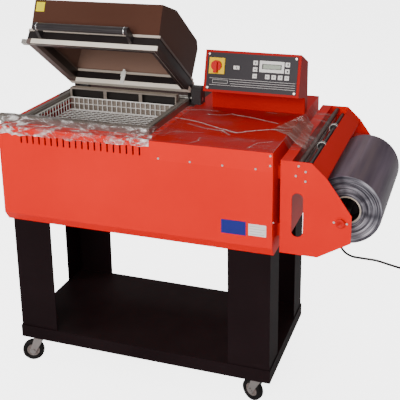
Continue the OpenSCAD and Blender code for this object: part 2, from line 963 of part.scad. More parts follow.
// Right block with the counterbalance spring's housing, and a plain lug under the hood's left
module hinge_blocks() {
    block_end = block_right + hinge_block_w;
    color(black) difference() {
        union() {
            block(
                [block_right, hinge_y - hinge_block_d / 2, table_z],
                [block_end, hinge_y + hinge_block_d / 2, table_z + hinge_block_h]
            );
            rod_x([hinge_y, hinge_z + hinge_block_h / 2], block_right, block_end, hinge_block_d / 2);
            block(
                [lug_x, hinge_y - hinge_lug_r, table_z],
                [lug_x + hinge_block_w, hinge_y + hinge_lug_r, hinge_z]
            );
            rod_x([hinge_y, hinge_z], lug_x, lug_x + hinge_block_w, hinge_lug_r);
        }
        rod_x([hinge_y, hinge_z], lug_x - over, block_end + over, hinge_r + run_gap);
        block([lug_x - over, 0, table_z - hinge_block_d], [block_end + over, body_d, table_z]);
    }
}

// Console: a frame of reference on its front face, x along it, y up it and z out of it
module on_face() {
    translate([console_x, face_y, face_z]) rotate([90 - face_lean, 0, 0]) children();
}

panel_low = (face_h - panel_h) / 2;
face_top = [face_y + face_h * sin(face_lean), face_z + face_h * cos(face_lean)];
console_outline = [
    [face_y, face_z], [column_y, table_z + column_h], [column_y, table_z],
    [console_rear, table_z], [console_rear, face_top[1] - console_fall], face_top
];

module console_housing() {
    color(red) difference() {
        prism_x(console_outline, console_x, console_x + console_w);
        prism_x(inset(console_outline, console_t), console_x + console_t, console_x + console_w - console_t);
        on_face() block(
            [face_frame_w, face_frame_w, -console_t - over],
            [console_w - face_frame_w, face_h - face_frame_w, over]
        );
    }
}

module key_hole(at) {
    w = key_w / 2 + key_gap;
    translate([at[0], at[1], 0]) block([-w, -w, -over], [w, w, panel_t + over]);
}

key_places = [
    [key_left_x, key_row_y], [key_left_x, key_row_y + key_pitch], [key_left_x, key_row_y + 2 * key_pitch],
    [key_row_x, key_row_y], [key_row_x + key_pitch, key_row_y],
    [key_row_x + 2 * key_pitch, key_row_y], [key_right_x, key_row_y],
    [key_right_x, key_row_y + key_pitch], [key_right_x, key_row_y + 2 * key_pitch]
];

module control_panel() {
    color(black) on_face() difference() {
        block([panel_in, panel_low, 0], [console_w - panel_in, panel_low + panel_h, panel_t]);
        for (at = key_places) key_hole(at);
        translate([rocker_at[0], rocker_at[1], 0]) block(
            [-rocker_w / 2 - key_gap, -rocker_h / 2 - key_gap, -over],
            [rocker_w / 2 + key_gap, rocker_h / 2 + key_gap, panel_t + over]
        );
        translate([display_at[0], display_at[1], 0]) block(
            [-display_w / 2 + display_t, -display_h / 2 + display_t, -over],
            [display_w / 2 - display_t, display_h / 2 - display_t, panel_t + over]
        );
        translate([switch_at[0], switch_at[1], -over])
            cylinder(h = panel_t + 2 * over, r = knob_pin_r + key_gap);
    }
}

module switch_plate() {
    color("gold") on_face() translate([switch_at[0], switch_at[1], panel_t]) difference() {
        block([-switch_w / 2, -switch_w / 2, 0], [switch_w / 2, switch_w / 2, switch_t]);
        translate([0, 0, -over]) cylinder(h = switch_t + 2 * over, r = knob_pin_r + run_gap);
    }
}

module switch_knob() {
    color(red) on_face() translate([switch_at[0], switch_at[1], panel_t + switch_t + side_gap]) {
        cylinder(h = knob_h, r = knob_r);
        translate([-knob_bar[0] / 2, -knob_bar[1] * 0.65, 0])
            cube([knob_bar[0], knob_bar[1], knob_h + knob_bar[2]]);
        translate([0, 0, -switch_t - side_gap - panel_t]) cylinder(
            h = switch_t + side_gap + panel_t + over, r = knob_pin_r
        );
    }
}

module display() {
    color(cream) on_face() translate([display_at[0], display_at[1], panel_t]) difference() {
        union() {
            block([-display_w / 2, -display_h / 2, 0], [display_w / 2, display_h / 2, display_t]);
            block(
                [-display_w / 2 + display_t + run_gap, -display_h / 2 + display_t + run_gap, -display_back],
                [display_w / 2 - display_t - run_gap, display_h / 2 - display_t - run_gap, over]
            );
        }
        block([-lens_w / 2, -lens_h / 2, display_t - lens_in], [lens_w / 2, lens_h / 2, display_t + over]);
    }
}

module key(i) {
    color(cream) on_face() translate([key_places[i][0], key_places[i][1], 0])
        block([-key_w / 2, -key_w / 2, -key_back], [key_w / 2, key_w / 2, panel_t + key_out]);
}

// The rocker turns on a pin under the panel
module rocker() {
    color(cream) on_face() translate([rocker_at[0], rocker_at[1], panel_t - rocker_pin_drop])
        rotate([0, -rocker_tilt, 0]) rotate([90, 0, 0]) {
            translate([0, rocker_pin_drop, 0]) linear_extrude(rocker_h, center = true) polygon([
                [-rocker_w / 2 + rocker_out, rocker_out], [0, rocker_out / 2],
                [rocker_w / 2 - rocker_out, rocker_out],
                [rocker_w / 2 - rocker_out, -rocker_t / 2], [0, -rocker_t],
                [-rocker_w / 2 + rocker_out, -rocker_t / 2]
            ]);
            cylinder(h = rocker_h + 2 * rocker_pin_out, r = rocker_pin_r, center = true);
        }
}

// Film roll holder
plate_outline = [
    [plate_x, plate_top - plate_h],
    [plate_x + plate_foot_w, plate_top - plate_h],
    [plate_x + plate_w, plate_top - plate_h + plate_toe_h],
    [plate_x + plate_w, plate_top - plate_h + plate_toe_h + plate_nose_h],
    [plate_x + plate_w * 0.826, plate_top - plate_h * 0.33],
    [plate_x + plate_w * 0.643, plate_top - plate_h * 0.143],
    [plate_x + plate_top_w, plate_top],
    [plate_x, plate_top]
];

// inner is 1 where the bearing bosses stand on the side of larger y, else -1
module roll_plate(y0, inner) {
    y1 = y0 + plate_t;
    slot_z0 = plate_top - plate_h + slot_low + slot_r;
    slot_z1 = plate_top - plate_h + slot_high - slot_r;
    boss_y0 = inner > 0 ? y1 - over : y0 - boss_l;
    color(red) difference() {
        union() {
            prism_y(plate_outline, y0, y1);
            for (at = [roller_at, perf_at])
                rod_y(at, boss_y0, boss_y0 + boss_l + over, boss_r);
        }
        for (at = [roller_at, perf_at])
            rod_y(at, inner > 0 ? y0 + over : y0 - boss_l - over,
                inner > 0 ? y1 + boss_l + over : y1 - over, stub_r + run_gap);
        rod_y([roll_x, roll_z], y0 - over, y1 + over, spindle_r + run_gap);
        block([plate_x + slot_x - slot_r, y0 - over, slot_z0], [plate_x + slot_x + slot_r, y1 + over, slot_z1]);
        for (z = [slot_z0, slot_z1])
            rod_y([plate_x + slot_x, z], y0 - over, y1 + over, slot_r);
    }
}

inner_y0 = plate_y + plate_t;
inner_y1 = plate_y2;

module holder_back() {
    low = plate_top - plate_h;
    color(red) {
        block([plate_x, inner_y0, low], [plate_x + back_t, inner_y1, plate_top]);
        block([plate_x, inner_y0, plate_top - back_t], [plate_x + lip_w, inner_y1, plate_top]);
        for (z = [low + spacer_low, low + spacer_high])
            block([body_l, inner_y0 + spacer_in, z], [plate_x + back_t / 2, inner_y1 - spacer_in, z + spacer_h]);
    }
}

module guide_sheet() {
    color(red) prism_y(
        strip([guide_top, guide_fold, guide_fold - [0, guide_hem]], guide_t), inner_y0, inner_y1
    );
}

module spindle() {
    color(steel) rod_y([roll_x, roll_z], plate_y - spindle_out, plate_y2 + plate_t + spindle_out, spindle_r);
}

module roll_core() {
    y1 = roll_y + film_w;
    color(cream) difference() {
        rod_y([roll_x, roll_z], roll_y, y1, core_r + core_t);
        for (span = [
            [roll_y - over, roll_y + core_plug_in],
            [roll_y + core_plug_in + core_plug_t, y1 - core_plug_in - core_plug_t],
            [y1 - core_plug_in, y1 + over]
        ]) rod_y([roll_x, roll_z], span[0], span[1], core_r);
        rod_y([roll_x, roll_z], roll_y - over, y1 + over, spindle_r + run_gap);
    }
}

module film_roll() {
    color([0.42, 0.36, 0.42]) difference() {
        rod_y([roll_x, roll_z], roll_y, roll_y + film_w, film_r);
        rod_y([roll_x, roll_z], roll_y - over, roll_y + film_w + over, core_r + core_t + film_fit);
    }
}

module guide_roller() {
    color(steel) {
        rod_y(roller_at, inner_y0 + boss_l + end_gap, inner_y1 - boss_l - end_gap, roller_r);
        rod_y(roller_at, inner_y0 + end_gap, inner_y1 - end_gap, stub_r);
    }
}

module tie_rods() {
    color(steel) {
        rod_y(rod_at, inner_y0, inner_y1, rod_r);
        rod_y(low_rod_at, inner_y0, inner_y1, low_rod_r);
    }
}

module perforator() {
    color(black) {
        rod_y(perf_at, inner_y0 + boss_l + end_gap, inner_y1 - boss_l - end_gap, perf_shaft_r);
        rod_y(perf_at, inner_y0 + end_gap, inner_y1 - end_gap, stub_r);
        for (y = perf_wheel_y)
            rod_y(perf_at, y - perf_wheel_w / 2, y + perf_wheel_w / 2, wheel_perf_r);
    }
}

// Film from the roll, between the rollers, over the table and down the front of the chamber
function polar(r, a) = [r * cos(a), r * sin(a)];
// Place where a line from point p touches the left side of a circle
function touch(p, c, r) =
    let (v = p - c, a = atan2(v[1], v[0]), b = acos(r / norm(v))) c + polar(r, a + b);

web_roll_r = film_r + web_clear + web_t / 2;
web_rod_r = low_rod_r + web_clear + web_t;
web_roller_r = roller_r + web_clear + web_t;
web_rise = web_lift + web_t / 2;
web_path = concat(
    [touch(low_rod_at + polar(web_rod_r, 0), [roll_x, roll_z], web_roll_r)],
    [for (a = [0, 45, 90]) low_rod_at + polar(web_rod_r, a)],
    [rod_at + (perf_at - rod_at) * 0.41],
    [for (a = [-36, 0, 45, 90]) roller_at + polar(web_roller_r, a)],
    [[plate_x + lip_w, plate_top + web_rise], [plate_x, plate_top + web_rise]],
    [[body_l + web_clear + web_t, table_z - web_t], [body_l + web_clear + web_t, table_z + web_rise]]
);
apron_path = [
    [-apron_out, table_z - apron_drop], [-apron_out, table_z - web_clear],
    [-apron_out / 2, table_z + web_rise + web_t], [chamber_y - 2 * frame_w + over, table_z + web_rise + web_t],
    [hood_y0 - over, seal_z + web_rise], [chamber_y + over, seal_z + web_rise]
];

module film_web() {
    color([0.8, 0.72, 0.7, 0.6]) {
        prism_y(strip(web_path, web_t), roll_y + web_edge, roll_y + film_w - web_edge);
        block(
            [hood_x1 + web_clear, web_y0, table_z + web_lift],
            [body_l - web_t, web_y1, table_z + web_lift + web_t]
        );
        block(
            [body_l - 2 * web_t, roll_y + web_edge, table_z + web_lift],
            [body_l + web_clear + web_t, web_y1, table_z + web_lift + web_t]
        );
        prism_x(strip(apron_path, web_t), apron_x0, hood_x1);
        block(
            [hood_x1 - over, 0, table_z + web_lift],
            [table_x, chamber_y - 2 * frame_w, table_z + web_lift + 2 * web_t]
        );
    }
}

// Mains cord
module cable_gland() {
    color(black) {
        rod_y([gland_x, gland_z], body_d, body_d + gland_nut_l, gland_r);
        translate([gland_x, body_d + gland_l, gland_z]) rotate([90, 0, 0])
            cylinder(h = gland_cone_l, r1 = gland_cone_r, r2 = gland_r - sheet_t);
    }
}

// Smooth line through a list of points, cord_steps pieces between two of them
function pick(pts, i) = pts[max(0, min(len(pts) - 1, i))];
function smooth(a, b, c, d, t) =
    (2 * b + (c - a) * t + (2 * a - 5 * b + 4 * c - d) * t ^ 2 + (3 * b - a - 3 * c + d) * t ^ 3) / 2;
function through(pts, n) = concat(
    [for (i = [0 : len(pts) - 2], k = [0 : n - 1])
        smooth(pick(pts, i - 1), pts[i], pts[i + 1], pick(pts, i + 2), k / n)],
    [pts[len(pts) - 1]]
);

// Rings of a tube round a line; the first and last rings are square to the given headings
function heading(pts, i, first, last) =
    i == 0 ? first : i == len(pts) - 1 ? last : unit(pts[i + 1] - pts[i - 1]);
function side_way(h) = abs(h[2]) > 0.98 ? [1, 0, 0] : unit(cross(h, [0, 0, 1]));
function ring_points(p, h, r, n) =
    let (u = side_way(h), v = cross(u, h))
    [for (k = [0 : n - 1]) p + r * (cos(360 * k / n) * u + sin(360 * k / n) * v)];
module tube(pts, d, n, first, last) {
    m = len(pts);
    rings = [for (i = [0 : m - 1]) each ring_points(pts[i], heading(pts, i, first, last), d / 2, n)];
    sides = [for (i = [0 : m - 2], k = [0 : n - 1]) each [
        [i * n + k, i * n + (k + 1) % n, (i + 1) * n + k],
        [i * n + (k + 1) % n, (i + 1) * n + (k + 1) % n, (i + 1) * n + k]
    ]];
    start = [for (k = [1 : n - 2]) [0, k + 1, k]];
    end = [for (k = [1 : n - 2]) [(m - 1) * n, (m - 1) * n + k, (m - 1) * n + k + 1]];
    polyhedron(rings, concat(sides, start, end), convexity = 10);
}

coil_way = [cos(coil_heading), sin(coil_heading), 0];
cord_line = through(concat(
    [[each gland_mouth, gland_z], [each gland_mouth + [0, 2 * cord_d], gland_z]],
    [for (p = cord_route) [each (gland_mouth + [p[0], p[1]]), p[2]]],
    [[each coil_start, cord_floor] - 3 * cord_d * coil_way, [each coil_start, cord_floor]]
), cord_steps);

module mains_cord() {
    color(black) tube(cord_line, cord_d, cord_sides, [0, 1, 0], coil_way);
}

// The coil winds in on the floor, climbs in half a turn and winds out again on top
coil_in = 360 * coil_turns;
coil_all = 2 * coil_in + 180;
function ease(t) = t ^ 2 * (3 - 2 * t);
function coil_radius(a) =
    a < coil_in ? coil_r - coil_pitch * a / 360
    : a < coil_in + 180 ? coil_r - coil_pitch * coil_turns
    : coil_r - coil_pitch * coil_turns + coil_pitch * (a - coil_in - 180) / 360;
function coil_height(a) = cord_floor + coil_layer * ease(max(0, min(1, (a - coil_in) / 180)));
coil_first = coil_heading - 90;
coil_mid = coil_start + coil_straight * [cos(coil_heading), sin(coil_heading)] - polar(coil_r, coil_first);
coil_end_way = [cos(coil_heading + coil_all), sin(coil_heading + coil_all), 0];
coil_turn_line = [for (i = [0 : coil_all * coil_rings / 360])
    let (a = i * 360 / coil_rings)
    [each (coil_mid + polar(coil_radius(a), coil_first + a)), coil_height(a)]];
coil_last = coil_turn_line[len(coil_turn_line) - 1];
coil_line = concat(
    [[each coil_start, cord_floor]], coil_turn_line, [coil_last + tail_l * coil_end_way]
);

// Least gap of the coil to itself, on points at least half a turn apart
coil_gaps = [for (i = [0 : len(coil_turn_line) - 1], j = [i + coil_rings / 2 : 1 : len(coil_turn_line) - 1])
    norm(coil_turn_line[i] - coil_turn_line[j]) - cord_d];

module cord_coil() {
    echo(least_coil_gap = min(coil_gaps));
    color(black) tube(coil_line, cord_d, coil_sides, coil_way, coil_end_way);
}

// Two-pin plug at the end of the cord, lying on the floor
module plug() {
    at = coil_last + tail_l * coil_end_way;
    color(black) translate(at) rotate([0, 0, coil_heading + coil_all]) rotate([0, 90, 0]) {
        cylinder(h = plug_neck_l, r = plug_neck_r);
        translate([0, 0, plug_neck_l]) intersection() {
            cylinder(h = plug_l, r = plug_r);
            block([-plug_r, -plug_r, 0], [at[2], plug_r, plug_l]);
        }
        for (s = [-1, 1])
            translate([0, s * pin_gap / 2, plug_neck_l + plug_l - over]) cylinder(h = pin_l + over, r = pin_r);
    }
}

place() base_tray();
place() legs();
place() caster_plates();
place() caster_fork(0, 0, swivel_front_left);  // caster_fork_front_left
place() caster_fork(1, 0, swivel_front_right);  // caster_fork_front_right
place() caster_fork(0, 1, swivel_rear_left);  // caster_fork_rear_left
place() caster_fork(1, 1, swivel_rear_right);  // caster_fork_rear_right
place() caster_wheel(0, 0, swivel_front_left);  // caster_wheel_front_left
place() caster_wheel(1, 0, swivel_front_right);  // caster_wheel_front_right
place() caster_wheel(0, 1, swivel_rear_left);  // caster_wheel_rear_left
place() caster_wheel(1, 1, swivel_rear_right);  // caster_wheel_rear_right
place() body_shell();
place() work_table();
place() fasteners();
place() chamber_tub();
place() seal_frame();
place() seal_pad();
place() air_duct();
place() basket();
place() fan_motor();
place() fan_impeller();
place() heater_element();
place() transformer();
place() hood_frame();
place() hood_gasket();
place() hood_shell();
place() hood_handle();
place() seal_blade();
place() hinge_shaft();
place() hinge_blocks();
place() console_housing();
place() control_panel();
place() switch_plate();
place() switch_knob();
place() display();
place() key(0);  // key_left_low
place() key(1);  // key_left_middle
place() key(2);  // key_left_top
place() key(3);  // key_row_1
place() key(4);  // key_row_2
place() key(5);  // key_row_3
place() key(6);  // key_row_4
place() key(7);  // key_right_middle
place() key(8);  // key_right_top
place() rocker();
place() roll_plate(plate_y, 1);  // roll_plate_front
place() roll_plate(plate_y2, -1);  // roll_plate_rear
place() holder_back();
place() guide_sheet();
place() spindle();
place() roll_core();
place() film_roll();
place() guide_roller();
place() tie_rods();
place() perforator();
place() film_web();
place() cable_gland();
place() mains_cord();
place() cord_coil();
place() plug();
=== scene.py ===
"""Looks of the shrink wrapping machine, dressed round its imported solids.

Lengths are in metres in the row's frame. Many places are written in millimetres from the
casing's left front edge at floor level, as in the model's source: `at` turns those into
the row's frame.
"""
import math
import random

import bmesh
import bpy
from mathutils import Matrix, Vector, noise


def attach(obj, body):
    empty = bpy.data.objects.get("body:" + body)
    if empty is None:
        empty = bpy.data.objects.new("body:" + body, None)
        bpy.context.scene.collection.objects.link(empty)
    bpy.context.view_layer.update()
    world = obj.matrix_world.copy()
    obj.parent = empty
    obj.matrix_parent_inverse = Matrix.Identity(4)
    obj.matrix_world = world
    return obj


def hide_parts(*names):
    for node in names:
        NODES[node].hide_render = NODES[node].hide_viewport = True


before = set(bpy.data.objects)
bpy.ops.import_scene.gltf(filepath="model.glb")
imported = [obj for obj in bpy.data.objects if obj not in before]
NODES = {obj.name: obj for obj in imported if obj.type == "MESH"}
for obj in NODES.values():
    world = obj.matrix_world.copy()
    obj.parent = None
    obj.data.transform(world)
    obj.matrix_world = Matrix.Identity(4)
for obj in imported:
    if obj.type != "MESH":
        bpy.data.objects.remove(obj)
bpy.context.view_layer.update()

MM = 0.001
MIDDLE = (584.0, 331.0)
TABLE = 870.0
SEAL_TOP = 892.0
HINGE = (428.5, 885.0)
HOOD_OPEN = math.radians(35.7)
FACE_CORNER = (584.0, 307.0, 948.5)
FACE_LEAN = math.radians(16.0)
REEL_AXIS = (1093.0, 674.0)
# Up to this x the gasket's dark sides carry a painted highlight
GASKET_LEFT = 77.0
# Radius inside which the core's card carries painted shade
CORE_BORE = 38.8
# Distances back from the hinge where the gasket's pale front and back end; between them the gasket and the band's pale
# strip carry painted shade
GASKET_PALE = (-380.5, -59.6)
# From this x the gasket's front is pale; left of it the front takes the left side's painted highlight
GASKET_CAP = 66.0
# Corner of the deck behind the hot-air outlet that carries painted shade, as (x, y)
SHADED_DECK_CORNER = (540.0, 380.0)


def at(x, y, z):
    """Place in the row's frame of a point in millimetres from the casing's left front edge."""
    return Vector(((x - MIDDLE[0]) * MM, (y - MIDDLE[1]) * MM, z * MM))


def at_hood(x, y, z):
    """Place on the open hood of a point given as if the hood were shut."""
    dy, dz = y - HINGE[0], z - HINGE[1]
    c, s = math.cos(HOOD_OPEN), math.sin(HOOD_OPEN)
    return at(x, HINGE[0] + dy * c + dz * s, HINGE[1] - dy * s + dz * c)


def at_face(x, up, out):
    """Place on the console's front face: along it, up its slope and out of it."""
    c, s = math.cos(FACE_LEAN), math.sin(FACE_LEAN)
    return at(
        FACE_CORNER[0] + x,
        FACE_CORNER[1] + up * s - out * c,
        FACE_CORNER[2] + up * c + out * s,
    )


# Camera ---------------------------------------------------------------------------------

PHOTO_SIZE = 400
FOCAL_PIXELS = 820.62
OPTICAL_CENTRE = (200.49, 111.68)
SENSOR = 36.0


def make_camera():
    """Camera at the photograph's place, as fitted to the machine's edges."""
    yaw, pitch, roll = math.radians(19.731), math.radians(16.409), math.radians(-0.798)
    forward = Vector(
        (-math.sin(yaw) * math.cos(pitch), math.cos(yaw) * math.cos(pitch), -math.sin(pitch))
    )
    level = Vector((math.cos(yaw), math.sin(yaw), 0.0))
    upright = level.cross(forward)
    right = level * math.cos(roll) + upright * math.sin(roll)
    up = upright * math.cos(roll) - level * math.sin(roll)
    data = bpy.data.cameras.new("camera")
    data.sensor_width = SENSOR
    data.lens = FOCAL_PIXELS / PHOTO_SIZE * SENSOR
    data.shift_x = (PHOTO_SIZE / 2 - OPTICAL_CENTRE[0]) / PHOTO_SIZE
    data.shift_y = (OPTICAL_CENTRE[1] - PHOTO_SIZE / 2) / PHOTO_SIZE
    camera = bpy.data.objects.new("camera", data)
    turn = Matrix((right, up, -forward)).transposed().to_4x4()
    camera.matrix_world = Matrix.Translation(at(1445.9, -2123.3, 1637.8)) @ turn
    bpy.context.scene.collection.objects.link(camera)
    bpy.context.scene.camera = camera
    return camera


make_camera()


# Node helpers ---------------------------------------------------------------------------


def add_node(tree, kind, settings=None, **inputs):
    """New shader node; settings are its properties, inputs its sockets by name."""
    node = tree.nodes.new("ShaderNode" + kind)
    for name, value in (settings or {}).items():
        setattr(node, name, value)
    for name, value in inputs.items():
        socket = node.inputs[name.replace("_", " ")]
        if isinstance(value, bpy.types.NodeSocket):
            tree.links.new(value, socket)
        else:
            socket.default_value = value
    return node


def math_node(tree, operation, a, b=None, clamp=False):
    """Math node with two values or sockets, and its output."""
    node = tree.nodes.new("ShaderNodeMath")
    node.operation = operation
    node.use_clamp = clamp
    for index, value in enumerate((a, b)):
        if value is None:
            continue
        if isinstance(value, bpy.types.NodeSocket):
            tree.links.new(value, node.inputs[index])
        else:
            node.inputs[index].default_value = value
    return node.outputs[0]


def mix_colour(tree, share, low, high):
    """Colour between low and high by share."""
    node = tree.nodes.new("ShaderNodeMix")
    node.data_type = "RGBA"
    for index, value in ((0, share), (6, low), (7, high)):
        if isinstance(value, bpy.types.NodeSocket):
            tree.links.new(value, node.inputs[index])
        else:
            node.inputs[index].default_value = value
    return node.outputs[2]


def spread(tree, value, low, high):
    """Value from 0 to 1 stretched to run from low to high."""
    node = add_node(tree, "MapRange")
    tree.links.new(value, node.inputs["Value"])
    node.inputs["To Min"].default_value = low
    node.inputs["To Max"].default_value = high
    return node.outputs["Result"]


def steps(tree, value, *stops):
    """Ramp of grey stops, each (place, grey)."""
    node = tree.nodes.new("ShaderNodeValToRGB")
    ramp = node.color_ramp
    while len(ramp.elements) < len(stops):
        ramp.elements.new(0.5)
    for element, (place, grey) in zip(ramp.elements, stops):
        element.position = place
        element.color = (grey, grey, grey, 1.0)
    tree.links.new(value, node.inputs["Fac"])
    return node.outputs["Color"]


def new_group(name, inputs, outputs):
    """Empty shader node group with float or vector inputs and outputs."""
    group = bpy.data.node_groups.new(name, "ShaderNodeTree")
    for label, kind, value in inputs:
        socket = group.interface.new_socket(label, in_out="INPUT", socket_type=kind)
        if value is not None:
            socket.default_value = value
    for label, kind in outputs:
        group.interface.new_socket(label, in_out="OUTPUT", socket_type=kind)
    return group, group.nodes.new("NodeGroupInput").outputs, group.nodes.new("NodeGroupOutput").inputs


def fine_texture_group():
    """Cast or sprayed texture: a mottled share for the finish and a height for the bump."""
    group, into, out = new_group(
        "fine_texture",
        [("Scale", "NodeSocketFloat", 200.0), ("Mottle Scale", "NodeSocketFloat", 6.0)],
        [("Mottle", "NodeSocketFloat"), ("Height", "NodeSocketFloat")],
    )
    place = add_node(group, "TexCoord").outputs["Object"]
    mottle = add_node(group, "TexNoise", Vector=place, Scale=into["Mottle Scale"], Detail=6.0)
    grain = add_node(group, "TexNoise", Vector=place, Scale=into["Scale"], Detail=3.0)
    group.links.new(mottle.outputs["Fac"], out["Mottle"])
    group.links.new(grain.outputs["Fac"], out["Height"])
    return group


def handling_marks_group():
    """Fine crossing scratches and rubbed patches, as a mask from 0 to 1."""
    group, into, out = new_group(
        "handling_marks",
        [("Scale", "NodeSocketFloat", 18.0), ("Amount", "NodeSocketFloat", 0.5)],
        [("Mask", "NodeSocketFloat")],
    )
    place = add_node(group, "TexCoord").outputs["Object"]
    turned = add_node(
        group, "Mapping", Vector=place, Rotation=(0.4, 0.9, 0.6), Scale=(1.0, 14.0, 3.0)
    ).outputs["Vector"]
    lines = add_node(group, "TexNoise", Vector=turned, Scale=into["Scale"], Detail=4.0)
    patches = add_node(group, "TexNoise", Vector=place, Scale=3.0, Detail=5.0)
    thin = steps(group, lines.outputs["Fac"], (0.60, 0.0), (0.72, 1.0))
    wide = steps(group, patches.outputs["Fac"], (0.45, 0.0), (0.70, 1.0))
    marks = math_node(group, "MULTIPLY", thin, wide)
    group.links.new(math_node(group, "MULTIPLY", marks, into["Amount"], clamp=True), out["Mask"])
    return group


def brushed_lines_group():
    """Long fine lines along one axis, for rolled or brushed metal."""
    group, into, out = new_group(
        "brushed_lines",
        [("Stretch", "NodeSocketVector", (4.0, 400.0, 400.0))],
        [("Share", "NodeSocketFloat"), ("Height", "NodeSocketFloat")],
    )
    place = add_node(group, "TexCoord").outputs["Object"]
    drawn = add_node(
        group, "VectorMath", {"operation": "MULTIPLY"}
    )
    group.links.new(place, drawn.inputs[0])
    group.links.new(into["Stretch"], drawn.inputs[1])
    lines = add_node(group, "TexNoise", Vector=drawn.outputs[0], Scale=1.0, Detail=5.0)
    broad = add_node(group, "TexNoise", Vector=place, Scale=9.0, Detail=3.0)
    both = math_node(group, "ADD", lines.outputs["Fac"], math_node(group, "MULTIPLY", broad.outputs["Fac"], 0.6))
    group.links.new(math_node(group, "MULTIPLY", both, 0.62, clamp=True), out["Share"])
    group.links.new(lines.outputs["Fac"], out["Height"])
    return group


def settled_dust_group():
    """Share of dust, more on faces that look up."""
    group, into, out = new_group(
        "settled_dust", [("Amount", "NodeSocketFloat", 0.2)], [("Share", "NodeSocketFloat")]
    )
    geometry = add_node(group, "NewGeometry")
    height = add_node(group, "SeparateXYZ", Vector=geometry.outputs["Normal"]).outputs["Z"]
    up = math_node(group, "POWER", math_node(group, "MAXIMUM", height, 0.0), 3.0)
    place = add_node(group, "TexCoord").outputs["Object"]
    cloud = add_node(group, "TexNoise", Vector=place, Scale=14.0, Detail=8.0).outputs["Fac"]
    share = math_node(group, "MULTIPLY", up, spread(group, cloud, 0.2, 1.0))
    group.links.new(math_node(group, "MULTIPLY", share, into["Amount"], clamp=True), out["Share"])
    return group


FINE_TEXTURE = fine_texture_group()
HANDLING_MARKS = handling_marks_group()
BRUSHED_LINES = brushed_lines_group()
SETTLED_DUST = settled_dust_group()


def place_group(tree, group, **inputs):
    """One of the groups above, set in a material."""
    node = tree.nodes.new("ShaderNodeGroup")
    node.node_tree = group
    for name, value in inputs.items():
        node.inputs[name.replace("_", " ")].default_value = value
    return node.outputs


def new_material(name, **shader):
    """Material with a Principled shader whose sockets are set by name."""
    material = bpy.data.materials.new(name)
    material.use_nodes = True
    tree = material.node_tree
    surface = tree.nodes["Principled BSDF"]
    for label, value in shader.items():
        surface.inputs[label.replace("_", " ")].default_value = value
    return material, tree, surface


def add_bump(tree, surface, height, strength, distance):
    bump = add_node(tree, "Bump", Strength=strength, Distance=distance)
    tree.links.new(height, bump.inputs["Height"])
    tree.links.new(bump.outputs["Normal"], surface.inputs["Normal"])


def rgba(red, green, blue):
    return (red, green, blue, 1.0)


# Finishes -------------------------------------------------------------------------------


def sprayed_paint(
    name, deep, light, roughness, grain=420.0, bump=0.05, dust=0.15, wear=0.35, specular=0.45, other=None
):
    """Sprayed sheet metal: a slight orange peel, mottled gloss, faint scratches and dust.

    other gives (colour, mask): a second colour where mask(tree) is 1, which the script uses for painted shade.
    """
    material, tree, surface = new_material(
        name, Specular_IOR_Level=specular
    )
    texture = place_group(tree, FINE_TEXTURE, Scale=grain, Mottle_Scale=2.6)
    marks = place_group(tree, HANDLING_MARKS, Scale=16.0, Amount=wear)["Mask"]
    dirt = place_group(tree, SETTLED_DUST, Amount=dust)["Share"]
    paint = mix_colour(tree, steps(tree, texture["Mottle"], (0.3, 0.0), (0.7, 1.0)), deep, light)
    if other:
        paint = mix_colour(tree, other[1](tree), paint, other[0])
    scuffed = tuple(min(1.0, c * 1.5 + 0.02) for c in light[:3]) + (1.0,)
    paint = mix_colour(tree, math_node(tree, "MULTIPLY", marks, 0.5), paint, scuffed)
    tree.links.new(mix_colour(tree, dirt, paint, rgba(0.45, 0.41, 0.38)), surface.inputs["Base Color"])
    gloss = spread(tree, texture["Mottle"], roughness - 0.06, roughness + 0.08)
    gloss = math_node(tree, "ADD", gloss, math_node(tree, "MULTIPLY", marks, 0.15))
    tree.links.new(math_node(tree, "ADD", gloss, dirt, clamp=True), surface.inputs["Roughness"])
    add_bump(tree, surface, texture["Height"], bump, 0.001)
    return material


def brushed_metal(name, colour, roughness, stretch, tint=0.8, marks=0.4):
    """Bare metal with rolling lines, darker blotches and scratches."""
    material, tree, surface = new_material(name, Metallic=1.0, Anisotropic=0.3)
    lines = place_group(tree, BRUSHED_LINES, Stretch=stretch)
    scratch = place_group(tree, HANDLING_MARKS, Scale=22.0, Amount=marks)["Mask"]
    dark = tuple(c * tint for c in colour[:3]) + (1.0,)
    tree.links.new(mix_colour(tree, lines["Share"], dark, colour), surface.inputs["Base Color"])
    gloss = spread(tree, lines["Share"], roughness - 0.08, roughness + 0.12)
    gloss = math_node(tree, "ADD", gloss, math_node(tree, "MULTIPLY", scratch, 0.2), clamp=True)
    tree.links.new(gloss, surface.inputs["Roughness"])
    add_bump(tree, surface, lines["Height"], 0.08, 0.0005)
    return material


def moulded(name, deep, light, roughness, grain=900.0, bump=0.12, specular=0.4, dust=0.12):
    """Moulded plastic or rubber with a fine skin."""
    material, tree, surface = new_material(name, Specular_IOR_Level=specular)
    texture = place_group(tree, FINE_TEXTURE, Scale=grain, Mottle_Scale=11.0)
    marks = place_group(tree, HANDLING_MARKS, Scale=30.0, Amount=0.4)["Mask"]
    dirt = place_group(tree, SETTLED_DUST, Amount=dust)["Share"]
    skin = mix_colour(tree, texture["Mottle"], deep, light)
    tree.links.new(mix_colour(tree, dirt, skin, rgba(0.40, 0.37, 0.34)), surface.inputs["Base Color"])
    gloss = math_node(tree, "ADD", spread(tree, texture["Mottle"], roughness - 0.07, roughness + 0.07), marks)
    tree.links.new(math_node(tree, "MINIMUM", gloss, 0.95), surface.inputs["Roughness"])
    add_bump(tree, surface, texture["Height"], bump, 0.0006)
    return material


def place_along(tree, axis, start):
    """Distance in metres from a start point along an axis, in the row's frame."""
    place = add_node(tree, "TexCoord").outputs["Object"]
    offset = add_node(tree, "VectorMath", {"operation": "SUBTRACT"})
    tree.links.new(place, offset.inputs[0])
    offset.inputs[1].default_value = start
    along = add_node(tree, "VectorMath", {"operation": "DOT_PRODUCT"})
    tree.links.new(offset.outputs[0], along.inputs[0])
    along.inputs[1].default_value = axis
    return along.outputs["Value"]


